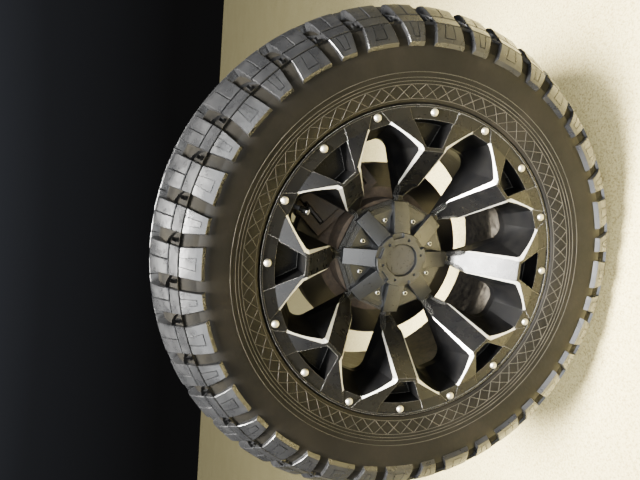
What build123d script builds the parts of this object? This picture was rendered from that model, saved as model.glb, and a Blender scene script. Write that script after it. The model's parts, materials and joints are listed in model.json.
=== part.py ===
from build123d import *
import os
from math import cos, radians, sin, sqrt, tan

# The left front wheel end of a pickup truck: wheel and tyre on their hub, with the brake and the knuckle.
# Everything is drawn about the wheel's axis, which is Y. A depth is measured along +Y, towards the middle
# of the truck, from the plane of the rim's lip. write() then moves it all to the lower ball joint's bore.

# Rim, a 20 by 9 inch one
BEAD_RADIUS = 256.4
FLANGE_HEIGHT = 17.3
FLANGE_THICK = 12.7
RIM_WIDTH = 228.6
LIP_WIDTH = 3.7
LIP_PROUD = 1.0
FLANGE_EDGE = 5.0
FLANGE_ROUND = 7.7
BARREL_WALL = 6.0
WELL_RADIUS = 234.0
WELL_START = 70.0
WELL_END = 114.0
WELL_SLOPE = 12.0
SHELF_DROP = 4.4
BEAD_SEAT = 21.0
CENTRE_LAP = 3.0
CENTRE_SLOPE_START = 34.0

# Wheel centre
SPOKES = 8
RING_WIDTH = 20.0
RING_THICK = 10.0
KNEE_RADIUS = 198.0
KNEE_FLAT = 6.5
KNEE_PROUD = 12.5
HUB_FACE = 96.0
HUB_FACE_APOTHEM = 116.8
MOUNT_FACE = 125.0
PILOT_RADIUS = 62.5
PAD_RADIUS = 98.0
SPOKE_BACK_INNER = 112.0
SPOKE_BACK_OUTER = 78.0
PANEL_DROP = 1.2
PANEL_HALF = 8.0
PANEL_LAP = 4.0
SCREW_ROOM = 1.0

# Large windows: a five-sided mouth in front, a round-cornered slot behind
MOUTH_DEPTH = -20.0
MOUTH_TIP = 253.6
MOUTH_TIP_HALF = 22.0
MOUTH_KNEE = 196.5
MOUTH_KNEE_HALF = 56.7
SLOT_DEPTH = 64.0
SLOT_TOP = 226.0
SLOT_HALF = 34.5
SLOT_CORNER = 25.0
SLOT_FOOT = 104.0
CUT_PAST = 5.0
LEDGES = 3
LEDGE_WIDTH = 2.2
LEDGE_DROP = 3.0
LEDGE_FOOT_WIDTH = 1.4
LEDGE_CORNER = 12.0
LEDGE_TOP = 137.0

# Milled strips along the windows' edges
MILL_TIP = 3.0
MILL_KNEE = 7.0
MILL_END = 2.0
MILL_LENGTH = 118.0
MILL_REACH = 12.0

# Small blind windows and the hollow behind each spoke
SMALL_WINDOW_FLOOR = 32.0
SMALL_WINDOW_DRAFT = 5.0
SMALL_WINDOW_HALF = 15.0
SMALL_WINDOW_FLARE = 0.51
SPOKE_HOLLOW_FLOOR = 62.0
SPOKE_HOLLOW_LOW = 140.0
SPOKE_HOLLOW_HIGH = 212.0
SPOKE_HOLLOW_NARROW = 10.0
SPOKE_HOLLOW_WIDE = 24.0
SPOKE_HOLLOW_INSET = 6.0

# Tyre, 35 inches high and 12.5 wide: a body with a flat between each two lugs.
# A drop is how far below the top of the tread a corner of its section lies.
TYRE_RADIUS = 442.0
TYRE_BULGE = 27.0
BEAD_THICK = 26.0
TYRE_FOOT_GAP = 3.3
TYRE_FOOT_DEPTH = 0.0
TYRE_LINE_DROP = 120.0
TYRE_LINE_DEPTH = -16.5
TYRE_SIDE_DROP = 85.0
TYRE_SIDE_DEPTH = -20.5
SEAM_DROP = 44.0
SEAM_DEPTH = -5.0
GROOVE_DROP = 22.0
GROOVE_DEPTH = 33.0
TREAD_FLOOR_DROP = 13.5
TREAD_FLOOR_START = 62.0
CAVITY_SIDE_DROP = 97.0
CAVITY_SIDE_DEPTH = -5.0
CAVITY_DROP = 40.0
CAVITY_START = 45.0

# Shoulder lugs, broad and narrow in turn, and the blocks in the middle of the tread
LUG_PAIRS = 20
LUG_START_DROP = 77.5
LUG_FOOT_DROP = 84.0
LUG_FOOT_DEPTH = -14.0
LUG_BEND_DROP = 57.0
LUG_BEND_DEPTH = -20.0
LUG_SEAM_DEPTH = -12.0
LUG_BAR_DROP = 29.0
LUG_BAR_DEPTH = 8.0
LUG_SHOULDER_DROP = 7.0
LUG_SHOULDER_DEPTH = 37.0
LUG_SUNK = 10.0
BROAD_HALF = 24.5
NARROW_HALF_START = 12.5
NARROW_HALF = 20.5
TREAD_BLOCK_HALF = 27.0
TREAD_BLOCK_NEAR = 72.0

# Wheel fastening
LUGS = 8
LUG_CIRCLE = 170.0
LUG_RADIUS = 7.0
NUT_RADIUS = 12.5
LUG_SEAT = 112.0
NUT_FACE = 91.0

# Lip studs
LIP_STUDS = 16
LIP_STUD_RADIUS = 6.75
LIP_STUD_CIRCLE = 523.8
LIP_STUD_PROUD = 3.5
LIP_SHANK_RADIUS = 4.0
LIP_SHANK_LENGTH = 8.0

# Centre cap
CAP_REACH = 106.0
CAP_ARM_WIDTH = 29.0
CAP_ARM_ROOT_WIDTH = 33.0
CAP_ARM_START = 68.0
CAP_ARM_END_THICK = 10.0
CAP_BOSS_RADIUS = 50.0
CAP_BOSS_EDGE = 1.5
CAP_TOP = 59.5
CAP_APOTHEM = 98.0
CAP_FLOOR_THICK = 2.0
CAP_STEPS = 3
CAP_STEP_WIDTH = 2.4
CAP_STEP_RISE = 1.8
CAP_PAD_OUTER = 91.0
CAP_PAD_APEX = 61.0
CAP_PAD_APEX_HALF = 2.0
BOSS_NOTCHES = 6
BOSS_NOTCH_WIDTH = 22.0
BOSS_NOTCH_RADIUS = 41.0
BOSS_NOTCH_DEPTH = 6.5
BOSS_NOTCH_ANGLE = 16.0
BOSS_HOLE_CIRCLE = 77.2
BOSS_HOLE_RADIUS = 2.8
BOSS_HOLE_DEPTH = 5.0
BOSS_HOLE_ANGLE = 44.4
BADGE_RADIUS = 28.5
BADGE_GROOVE = 2.5
BADGE_DEPTH = 5.5
BADGE_THICK = 3.0
CAP_SCREW_CIRCLE = 150.0
CAP_SCREW_RADIUS = 5.0
CAP_SCREW_HEAD = 3.0
CAP_SHANK_RADIUS = 2.5
CAP_SHANK_DEPTH = 10.0
CAP_PAD_FACE = 89.0

# Hub
HUB_FLANGE_RADIUS = 104.0
HUB_FLANGE_THICK = 14.0
LUG_TIP = 97.0
SPINDLE_RADIUS = 42.0
SPLINE_RADIUS = 17.5
SPINDLE_PROUD = 4.0
PILOT_LENGTH = 26.0

# Brake disc
DISC_RADIUS = 177.5
DISC_INNER = 112.0
HAT_RADIUS = 108.0
HAT_WALL = 8.0
HAT_SIDE = 3.0
DISC_FACE = 175.0
DISC_THICK = 36.0
DISC_CHEEK = 12.0
DISC_CLEAR = 5.0
VANES = 30
VANE_THICK = 6.0
VANE_INSET = 3.0

# Bearing housing
HOUSING_RADIUS = 62.0
HOUSING_START = 152.0
HOUSING_FLANGE_RADIUS = 78.0
HOUSING_FLANGE_THICK = 12.0
HOUSING_BOLT_CIRCLE = 138.0
HOUSING_BOLT_RADIUS = 6.0
HOUSING_BOLT_HEAD = 10.0
HOUSING_BOLT_HEAD_THICK = 8.0
HOUSING_BOLT_ANGLES = (45, 135, 225, 315)
HOUSING_WAIST = 8.0
SPANNER_ROOM = 3.0

# Dust shield
SHIELD_THICK = 2.0
SHIELD_RADIUS = 172.0
SHIELD_GAP = 6.0
SHIELD_OPEN_GAP = 3.0

# Knuckle
KNUCKLE_THICK = 30.0
KNUCKLE_RING_RADIUS = 84.0
ARM_ROOT_HALF = 48.0
ARM_WAIST_HALF = 41.0
ARM_WAIST_RISE = 78.0
ARM_END_HALF = 23.0
ARM_END_THICK = 40.0
STEER_ROOT = 60.0
STEER_ROOT_HEIGHT = 30.0
STEER_ROOT_TALL = 56.0
STEER_END_TALL = 26.0
STEER_END_THICK = 28.0
LOWER_JOINT_DEPTH = 290.0
LOWER_JOINT_DROP = 130.0
UPPER_JOINT_RISE = 130.0
KINGPIN_TILT = 8.0
JOINT_BOSS_RADIUS = 28.0
JOINT_BOSS_LENGTH = 44.0
JOINT_BORE_RADIUS = 11.0
SPOT_FACE_RADIUS = 20.0
STEER_REACH = 165.0
STEER_DROP = 40.0
STEER_DEPTH = 292.0
STEER_BOSS_RADIUS = 22.0
STEER_BOSS_LENGTH = 30.0
STEER_BORE_RADIUS = 8.0

# Caliper, bracket and pads
CALIPER_ANGLE = 45.0
PAD_HALF = 58.0
PAD_LOW = 129.0
LINING_THICK = 11.0
PLATE_THICK = 6.0
PAD_GAP = 0.5
BRIDGE_CLEAR = 6.5
BRIDGE_THICK = 26.0
FINGER_THICK = 18.0
CALIPER_HALF = 60.0
CALIPER_STEP = 6.0
FINGER_LOW = 132.0
FINGER_GAP_HALF = 13.0
FINGER_GAP_TOP = 176.0
CYLINDER_BLOCK_LOW = 140.0
CYLINDER_BLOCK_THICK = 28.0
PISTON_RADIUS = 28.0
PISTON_HEIGHT = 156.0
PISTON_SPACING = 64.0
PISTON_LENGTH = 44.0
BRACKET_LEG = 17.0
BRACKET_GAP = 2.0
BRACKET_BAR = 13.0
BRACKET_FRONT = 4.0
BRACKET_LIFT = 6.0
BRACKET_EAR_HALF = 14.0
BRACKET_WEB_HALF = 12.0
LEG_RISE = 8.0
LEG_SHOULDER = 20.0
BRACKET_BOLT_SPACING = 104.0
BRACKET_BOLT_HEIGHT = 112.0
BRACKET_BOLT_RADIUS = 7.0
BRACKET_BOLT_HEAD = 10.5
BRACKET_BOLT_HEAD_THICK = 9.0
EAR_THICK = 14.0
PIN_RADIUS = 6.0
PIN_DROP = 4.0
PIN_HEAD = 8.5
PIN_HEAD_THICK = 7.0
PIN_START_GAP = 4.0
PIN_EAR_GAP = 8.0
PIN_EAR_THICK = 12.0
PIN_EAR_HALF = 11.0

# Hose fitting on the caliper's back
FITTING_RADIUS = 9.0
FITTING_LENGTH = 14.0
FITTING_HEIGHT = 192.0
FITTING_BOLT = 8.0
FITTING_BOLT_THICK = 6.0

# Valve, square to the barrel's slope
VALVE_DEPTH = 42.0
VALVE_HEIGHT = 237.0
VALVE_TILT = 42.0
VALVE_LENGTH = 34.0
VALVE_RADIUS = 5.2
VALVE_NECK_RADIUS = 4.0
VALVE_CAP_LENGTH = 16.0
VALVE_FOOT_RADIUS = 8.0
VALVE_FOOT_THICK = 3.0
VALVE_ROOM_SHORT = 4.0

# Clearances
SLIP = 0.1
RUNNING = 0.05
ROOM = 0.6

# What follows from these
TYRE_LUGS = 2 * LUG_PAIRS
LIP_RADIUS = BEAD_RADIUS + FLANGE_HEIGHT
FAR_FLANGE = FLANGE_THICK + RIM_WIDTH
WHEEL_MIDDLE = FLANGE_THICK + RIM_WIDTH / 2
WELL_INSIDE = WELL_RADIUS - BARREL_WALL
SHELF_RADIUS = BEAD_RADIUS - SHELF_DROP
SHELF_INSIDE = SHELF_RADIUS - BARREL_WALL
SEAT_INSIDE = BEAD_RADIUS - BARREL_WALL
CENTRE_RADIUS = WELL_INSIDE + CENTRE_LAP
RING_RADIUS = LIP_RADIUS - LIP_WIDTH
RING_INNER = RING_RADIUS - RING_WIDTH
HALF_PITCH = radians(180 / SPOKES)
SPOKE_FALL = (HUB_FACE + KNEE_PROUD) / (KNEE_RADIUS - HUB_FACE_APOTHEM)
RING_RISE = KNEE_PROUD / (RING_INNER - KNEE_RADIUS - KNEE_FLAT)
FLANGE_FACE = MOUNT_FACE + HAT_WALL
DISC_BACK = DISC_FACE + DISC_THICK
SHIELD_FACE = DISC_BACK + SHIELD_GAP
KNUCKLE_FACE = SHIELD_FACE + SHIELD_THICK
KNUCKLE_BACK = KNUCKLE_FACE + KNUCKLE_THICK
BRIDGE_LOW = DISC_RADIUS + BRIDGE_CLEAR
BRIDGE_HIGH = BRIDGE_LOW + BRIDGE_THICK
OUTER_PLATE = DISC_FACE - PAD_GAP - LINING_THICK - PLATE_THICK
INNER_PLATE = DISC_BACK + PAD_GAP + LINING_THICK
EAR_FACE = KNUCKLE_BACK - EAR_THICK
SPINDLE_END = KNUCKLE_BACK + SPINDLE_PROUD
LEG_INNER = CALIPER_HALF + BRACKET_GAP
LEG_OUTER = LEG_INNER + BRACKET_LEG
LEG_TOP = BRIDGE_LOW + LEG_RISE
PIN_HEIGHT = BRIDGE_LOW - PIN_DROP
PIN_EAR = EAR_FACE + PIN_EAR_GAP
UPPER_JOINT_DEPTH = LOWER_JOINT_DEPTH + (LOWER_JOINT_DROP + UPPER_JOINT_RISE) * tan(radians(KINGPIN_TILT))


def at_depth(depth):
    """The plane across the axle at a depth; it faces outboard, with x to the right and y up."""
    return Plane.XZ.offset(-depth)


def slab(sketch, near, far):
    """The sketch, seen from outboard, made solid from one depth to a greater one."""
    return extrude(at_depth(far) * sketch, amount=far - near)


def patch(*corners):
    """A flat face from its corners."""
    return make_face(Polyline(*corners, close=True))


def turned(points):
    """A solid of revolution about the axle from corners given as (radius, depth)."""
    return revolve(patch(*points), axis=Axis.Y)


def rod(radius, near, far):
    return slab(Circle(radius), near, far)


def tube(inner, outer, near, far):
    return slab(Circle(outer) - Circle(inner), near, far)


def spin(shape, angle):
    """Turned clockwise about the axle as seen from outboard, from straight up."""
    return Rot(0, angle, 0) * shape


def above(height, shape):
    """A shape drawn about the axle, moved straight up to a height above it."""
    return Pos(0, 0, height) * shape


def around(shape, count, first=0.0):
    """Copies of a shape drawn straight above the axle, evenly round it."""
    return [spin(shape, first + 360.0 / count * n) for n in range(count)]


def block(x0, x1, z0, z1, near, far):
    """A box given by its sides across, its heights and its depths."""
    return slab(Pos((x0 + x1) / 2, (z0 + z1) / 2) * Rectangle(x1 - x0, z1 - z0), near, far)


# ---- turning parts ----

def barrel_inside():
    """Corners where the wheel centre meets the barrel, from the lip inwards."""
    return [
        (RING_RADIUS, RING_THICK),
        (SEAT_INSIDE, RING_THICK),
        (SEAT_INSIDE, CENTRE_SLOPE_START),
        (CENTRE_RADIUS, WELL_START - CENTRE_LAP),
        (CENTRE_RADIUS, SPOKE_BACK_OUTER),
        (WELL_INSIDE, SPOKE_BACK_OUTER),
    ]


def rim_barrel():
    far_lip = FAR_FLANGE + FLANGE_THICK
    outside = [
        (LIP_RADIUS, -LIP_PROUD),
        (LIP_RADIUS, FLANGE_EDGE),
        (LIP_RADIUS - FLANGE_EDGE, FLANGE_THICK),
        (BEAD_RADIUS, FLANGE_THICK),
        (BEAD_RADIUS, FLANGE_THICK + BEAD_SEAT),
        (WELL_RADIUS, WELL_START),
        (WELL_RADIUS, WELL_END),
        (SHELF_RADIUS, WELL_END + WELL_SLOPE),
        (SHELF_RADIUS, FAR_FLANGE - BEAD_SEAT),
        (BEAD_RADIUS, FAR_FLANGE - BEAD_SEAT + 2),
        (BEAD_RADIUS, FAR_FLANGE),
        (LIP_RADIUS - FLANGE_EDGE, FAR_FLANGE),
        (LIP_RADIUS, far_lip - FLANGE_EDGE),
        (LIP_RADIUS, far_lip),
        (LIP_RADIUS - FLANGE_ROUND, far_lip),
        (SHELF_INSIDE, FAR_FLANGE - SHELF_DROP),
        (SHELF_INSIDE, WELL_END + WELL_SLOPE - 2),
        (WELL_INSIDE, WELL_END - 2),
    ]
    barrel = turned(outside + barrel_inside()[::-1] + [(RING_RADIUS, -LIP_PROUD)])
    return barrel - valve_room()


def window_mouth():
    """The large window's outline in front, above the axle, down to the slot's foot."""
    half = [(MOUTH_TIP_HALF, MOUTH_TIP), (MOUTH_KNEE_HALF, MOUTH_KNEE), (MOUTH_KNEE_HALF, SLOT_FOOT)]
    return patch(*half, *[(-x, z) for x, z in half[::-1]])


def window_slot():
    """The large window's outline behind: a slot with round corners next to the rim."""
    flat = SLOT_HALF - SLOT_CORNER
    side = SLOT_TOP - SLOT_CORNER
    outline = Curve() + [
        Line((-flat, SLOT_TOP), (flat, SLOT_TOP)),
        RadiusArc((flat, SLOT_TOP), (SLOT_HALF, side), SLOT_CORNER),
        Line((SLOT_HALF, side), (SLOT_HALF, SLOT_FOOT)),
        Line((SLOT_HALF, SLOT_FOOT), (-SLOT_HALF, SLOT_FOOT)),
        Line((-SLOT_HALF, SLOT_FOOT), (-SLOT_HALF, side)),
        RadiusArc((-SLOT_HALF, side), (-flat, SLOT_TOP), SLOT_CORNER),
    ]
    return make_face(outline)


def window():
    """Cutter for a large window above the axle."""
    slot = window_slot()
    cut = loft([at_depth(MOUTH_DEPTH) * window_mouth(), at_depth(SLOT_DEPTH) * slot], ruled=True)
    return cut + slab(slot, SLOT_DEPTH, MOUNT_FACE + CUT_PAST)


def ledge(step):
    """Cutter for one of the steps round a large window's hub end, sunk below the spokes' faces."""
    half = SLOT_HALF + LEDGE_WIDTH * step
    foot = SLOT_FOOT - LEDGE_FOOT_WIDTH * step
    sink = LEDGE_DROP * (LEDGES + 1 - step)
    top = LEDGE_TOP
    outline = Pos(0, (foot + top) / 2) * RectangleRounded(2 * half, top - foot, LEDGE_CORNER)
    # The floor lies on the hub's flat, then follows the spoke's face at the window's edge
    bend = (HUB_FACE_APOTHEM - half * sin(HALF_PITCH)) / cos(HALF_PITCH)
    flat = HUB_FACE + sink
    front = flat - SPOKE_FALL * cos(HALF_PITCH) * (top - bend)
    side = patch((MOUTH_DEPTH, foot - 1), (flat, foot - 1), (flat, bend), (front, top), (MOUTH_DEPTH, top))
    above_floor = extrude(Plane.YZ.offset(-half - 1) * side, amount=2 * half + 2)
    return slab(outline, MOUTH_DEPTH, MOUNT_FACE) & above_floor


def mill(start, end, widths, face, wall):
    """A wedge that mills a flat strip along the edge between a face and a wall of these outward normals."""
    along = (end - start).normalized()
    out = (face + wall).normalized()
    steepness = tan(radians(face.get_angle(wall) / 2))
    sections = []
    for point, width, past in ((start, widths[0], -1), (end, widths[1], 1)):
        sunk = point + along * past - out * (width / 2 * steepness)
        plane = Plane(origin=sunk, x_dir=out, z_dir=along)
        sections.append(plane * patch((0, -MILL_REACH), (MILL_REACH, 0), (0, MILL_REACH)))
    return loft(sections, ruled=True)


def window_side(mouth, slot, depth):
    """The point of a window's wall at a depth, on the line from a mouth corner to its slot corner."""
    part = (depth - MOUTH_DEPTH) / (SLOT_DEPTH - MOUTH_DEPTH)
    across, up = (m + (s - m) * part for m, s in zip(mouth, slot))
    return Vector(across, depth, up)


def milled_strips():
    """Cutters for the bright strips beside a large window: along the fork, over the knee, down the spoke."""
    mouth_tip, slot_tip = (MOUTH_TIP_HALF, MOUTH_TIP), (SLOT_HALF - SLOT_CORNER, SLOT_TOP)
    mouth_knee, slot_knee = (MOUTH_KNEE_HALF, MOUTH_KNEE), (SLOT_HALF, SLOT_TOP - SLOT_CORNER)
    tip = window_side(mouth_tip, slot_tip, 0)
    corner = window_side(mouth_knee, slot_knee, -KNEE_PROUD)
    brim_height = (KNEE_RADIUS - corner.X * sin(HALF_PITCH)) / cos(HALF_PITCH)
    brim = Vector(corner.X, corner.Y, brim_height)
    draft = Vector((SLOT_HALF - MOUTH_KNEE_HALF) / (SLOT_DEPTH - MOUTH_DEPTH), 1, 0)
    spoke_wall = draft.cross(Vector(0, 0, 1)).normalized() * -1
    round_off = SLOT_CORNER * (1 - cos(radians(45)))
    deep = Vector(SLOT_HALF - round_off, SLOT_DEPTH, SLOT_TOP - round_off)
    fork_wall = (corner - tip).cross(deep - tip).normalized() * -1
    spoke_face = Vector(-SPOKE_FALL * sin(HALF_PITCH), -1, -SPOKE_FALL * cos(HALF_PITCH)).normalized()
    middle = tip + corner
    outward = Vector(middle.X, 0, middle.Z).normalized()
    fork_face = (outward * RING_RISE - Vector(0, 1, 0)).normalized()
    down = spoke_face.cross(spoke_wall).normalized()
    right = mill(tip, corner, (MILL_TIP, MILL_KNEE), fork_face, fork_wall)
    right += mill(corner, brim, (MILL_KNEE, MILL_KNEE), Vector(0, -1, 0), spoke_wall)
    right += mill(brim, brim + down * MILL_LENGTH, (MILL_KNEE, MILL_END), spoke_face, spoke_wall)
    return [right, mirror(right, about=Plane.YZ)]


def ring_panel(low_half, high_half):
    """Cutter for a shallow panel in the ring above the axle, from the windows out to the lip."""
    low, high = RING_INNER - PANEL_LAP, RING_RADIUS + 1
    sides = patch((-low_half, low), (low_half, low), (high_half, high), (-high_half, high))
    ring = Circle(RING_RADIUS) - Circle(low)
    return slab(sides & ring, -KNEE_PROUD, PANEL_DROP)


def small_window_half(radius):
    """Half the width of the blind window in a spoke's fork, at a height above the axle."""
    return SMALL_WINDOW_HALF + SMALL_WINDOW_FLARE * (radius - KNEE_RADIUS - KNEE_FLAT)


def small_window():
    """Cutter for the blind window in the fork of a spoke: a wedge with a curved outer side."""
    low, high = KNEE_RADIUS + KNEE_FLAT - 1, RING_RADIUS
    half_low, half_high = small_window_half(low), small_window_half(high)
    wedge = patch((-half_low, low), (half_low, low), (half_high, high), (-half_high, high))
    mouth = at_depth(0) * (wedge & Circle(RING_INNER))
    pocket = extrude(mouth, amount=-SMALL_WINDOW_FLOOR, taper=SMALL_WINDOW_DRAFT)
    return pocket + extrude(mouth, amount=KNEE_PROUD + SCREW_ROOM)


def spoke_hollow():
    """Cutter for the pocket in the back of a spoke, narrower towards the hub and towards its floor."""
    sections = []
    for depth, inset in ((SPOKE_BACK_INNER + 1, 0), (SPOKE_HOLLOW_FLOOR, SPOKE_HOLLOW_INSET)):
        low, narrow = SPOKE_HOLLOW_LOW + inset, SPOKE_HOLLOW_NARROW - inset
        high, wide = SPOKE_HOLLOW_HIGH - inset, SPOKE_HOLLOW_WIDE - inset
        sections.append(at_depth(depth) * patch((-narrow, low), (narrow, low), (wide, high), (-wide, high)))
    return loft(sections, ruled=True)


def lug_hole():
    hole = rod(NUT_RADIUS + ROOM, HUB_FACE, LUG_SEAT) + rod(LUG_RADIUS + ROOM, LUG_SEAT, MOUNT_FACE)
    return above(LUG_CIRCLE / 2, hole)


def octagon(apothem):
    """As many-sided as there are spokes, with a side across each spoke."""
    return Rot(0, 0, 180 / SPOKES) * RegularPolygon(apothem, SPOKES, major_radius=False)


def bowl():
    """Cutter for the sunken middle of the wheel: one sloping flat to each spoke, down to the hub's face."""
    brim = KNEE_RADIUS + PANEL_DROP / SPOKE_FALL
    front = at_depth(-KNEE_PROUD - PANEL_DROP) * octagon(brim)
    return loft([front, at_depth(HUB_FACE) * octagon(HUB_FACE_APOTHEM)], ruled=True)


def wheel_blank():
    """The wheel centre before its windows are cut: ring, raised fork circle and hub."""
    return turned(
        [
            (RING_RADIUS, 0),
            (RING_INNER, 0),
            (KNEE_RADIUS + KNEE_FLAT, -KNEE_PROUD),
            (PILOT_RADIUS, -KNEE_PROUD),
            (PILOT_RADIUS, MOUNT_FACE),
            (PAD_RADIUS, MOUNT_FACE),
            (PAD_RADIUS, SPOKE_BACK_INNER),
        ]
        + barrel_inside()[::-1]
    )


def wheel_centre():
    half_pitch = 180 / SPOKES
    body = wheel_blank() - bowl()
    body -= around(ring_panel(small_window_half(RING_INNER), small_window_half(RING_RADIUS)), SPOKES)
    body -= around(ring_panel(MOUTH_TIP_HALF - 1, PANEL_HALF), SPOKES, half_pitch)
    body -= around(window(), SPOKES, half_pitch)
    body -= around(small_window(), SPOKES)
    for step in range(1, LEDGES + 1):
        body -= around(ledge(step), SPOKES, half_pitch)
    for strip in milled_strips():
        body -= around(strip, SPOKES, half_pitch)
    body -= around(spoke_hollow(), SPOKES)
    body -= around(lug_hole(), LUGS)
    screw_hole = rod(CAP_SHANK_RADIUS + SLIP, HUB_FACE, HUB_FACE + CAP_SHANK_DEPTH + SCREW_ROOM)
    body -= around(above(CAP_SCREW_CIRCLE / 2, screw_hole), SPOKES, half_pitch)
    stud_hole = rod(LIP_SHANK_RADIUS + SLIP, 0, PANEL_DROP + LIP_SHANK_LENGTH + SCREW_ROOM)
    body -= around(above(LIP_STUD_CIRCLE / 2, stud_hole), LIP_STUDS)
    return body - valve_room()


def flat_turned(points):
    """A ring about the axle with as many flats as lugs, from corners given as (radius, depth)."""
    pitch = radians(360 / TYRE_LUGS)
    corners = [(sin(pitch * n), cos(pitch * n)) for n in range(TYRE_LUGS)]
    rings = []
    for radius, depth in points:
        reach = radius / cos(pitch / 2)
        rings.append([Vector(reach * x, depth, reach * z) for x, z in corners])
    faces = []
    for near, far in zip(rings, rings[1:] + rings[:1]):
        for n in range(TYRE_LUGS):
            faces.append(patch(near[n - 1], near[n], far[n], far[n - 1]))
    return Solid(Shell(faces))


def tyre_body():
    """The tyre without its lugs: a hollow ring with beads on the rim's seats."""
    heel = FLANGE_THICK + SLIP
    outside = [
        (BEAD_RADIUS, heel + BEAD_THICK),
        (BEAD_RADIUS, heel),
        (LIP_RADIUS - FLANGE_EDGE + SLIP, heel),
        (LIP_RADIUS + TYRE_FOOT_GAP, TYRE_FOOT_DEPTH),
        (TYRE_RADIUS - TYRE_LINE_DROP, TYRE_LINE_DEPTH),
        (TYRE_RADIUS - TYRE_SIDE_DROP, TYRE_SIDE_DEPTH),
        (TYRE_RADIUS - SEAM_DROP, SEAM_DEPTH),
        (TYRE_RADIUS - GROOVE_DROP, GROOVE_DEPTH),
        (TYRE_RADIUS - TREAD_FLOOR_DROP, TREAD_FLOOR_START),
    ]
    inside = [
        (TYRE_RADIUS - CAVITY_DROP, CAVITY_START),
        (TYRE_RADIUS - CAVITY_SIDE_DROP, CAVITY_SIDE_DEPTH),
    ]
    far = [(radius, 2 * WHEEL_MIDDLE - depth) for radius, depth in inside + outside]
    return flat_turned(outside + far[::-1] + inside)


def shoulder_lug(half_start, half):
    """A lug straight above the axle, from the tyre's side over its shoulder; its start may be narrower."""
    foot = TYRE_RADIUS - LUG_FOOT_DROP
    seam = TYRE_RADIUS - SEAM_DROP
    side_on = [
        (LUG_FOOT_DEPTH, foot),
        (-TYRE_BULGE, TYRE_RADIUS - LUG_START_DROP),
        (LUG_BEND_DEPTH, TYRE_RADIUS - LUG_BEND_DROP),
        (LUG_SEAM_DEPTH, seam),
        (LUG_BAR_DEPTH, TYRE_RADIUS - LUG_BAR_DROP),
        (LUG_SHOULDER_DEPTH, TYRE_RADIUS - LUG_SHOULDER_DROP),
        (TREAD_FLOOR_START, sqrt(TYRE_RADIUS**2 - half**2)),
        (TREAD_FLOOR_START, TYRE_RADIUS - TREAD_FLOOR_DROP - LUG_SUNK),
        (GROOVE_DEPTH, TYRE_RADIUS - GROOVE_DROP - LUG_SUNK),
        (SEAM_DEPTH, seam - LUG_SUNK),
    ]
    right = [(half_start, foot), (half, seam), (half, TYRE_RADIUS)]
    from_front = patch(*right, *[(-x, z) for x, z in right[::-1]])
    through = extrude(Plane.YZ * patch(*side_on), amount=half, both=True)
    return slab(from_front, -TYRE_BULGE, TREAD_FLOOR_START) & through


def tread_block():
    half, near = TREAD_BLOCK_HALF, TREAD_BLOCK_NEAR
    low = TYRE_RADIUS - TREAD_FLOOR_DROP - LUG_SUNK
    top = sqrt(TYRE_RADIUS**2 - half**2)
    return block(-half, half, low, top, near, 2 * WHEEL_MIDDLE - near)


def tyre():
    """The ring with its lugs on both shoulders, and half a pitch on the blocks between them."""
    pitch = 360 / TYRE_LUGS
    broad = shoulder_lug(BROAD_HALF, BROAD_HALF)
    narrow = shoulder_lug(NARROW_HALF_START, NARROW_HALF)
    far_side = Plane.XZ.offset(-WHEEL_MIDDLE)
    rubber = around(tread_block(), TYRE_LUGS, pitch / 2)
    for lug, first in ((broad, 0), (narrow, pitch)):
        rubber += around(lug, LUG_PAIRS, first)
        rubber += around(mirror(lug, about=far_side), LUG_PAIRS, first)
    return tyre_body() + rubber


def lip_stud():
    head = turned(
        [
            (0, -LIP_STUD_PROUD),
            (LIP_STUD_RADIUS - 2, -LIP_STUD_PROUD),
            (LIP_STUD_RADIUS, 2 - LIP_STUD_PROUD),
            (LIP_STUD_RADIUS, PANEL_DROP),
            (LIP_SHANK_RADIUS, PANEL_DROP),
            (LIP_SHANK_RADIUS, PANEL_DROP + LIP_SHANK_LENGTH),
            (0, PANEL_DROP + LIP_SHANK_LENGTH),
        ]
    )
    return above(LIP_STUD_CIRCLE / 2, head)


def cap_arms():
    """The cap's arms, one to each spoke, with tops that fall away from the boss."""
    half_tip, half_root = CAP_ARM_WIDTH / 2, CAP_ARM_ROOT_WIDTH / 2
    root = CAP_BOSS_RADIUS / 2
    outline = patch((-half_root, root), (half_root, root), (half_tip, CAP_REACH), (-half_tip, CAP_REACH))
    bar = slab(outline, CAP_TOP, HUB_FACE)
    slope = (HUB_FACE - CAP_ARM_END_THICK - CAP_ARM_START) / (CAP_REACH - CAP_BOSS_RADIUS)
    edge, low = 2 * CAP_REACH, HUB_FACE + CAP_REACH
    middle = CAP_ARM_START - slope * CAP_BOSS_RADIUS
    below = turned([(0, middle), (edge, middle + slope * edge), (edge, low), (0, low)])
    return around(bar & below, SPOKES)


def cap_pad():
    """The three-cornered pad between two arms that takes a screw; its outer corners run into the arms."""
    arm_side = CAP_ARM_WIDTH / 2 / cos(HALF_PITCH)
    half = CAP_PAD_OUTER * tan(HALF_PITCH) - arm_side + 1
    apex = CAP_PAD_APEX_HALF
    right = [(apex, CAP_PAD_APEX), (half, CAP_PAD_OUTER)]
    outline = patch(*right, *[(-x, z) for x, z in right[::-1]])
    return slab(outline, CAP_PAD_FACE, HUB_FACE)


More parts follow.
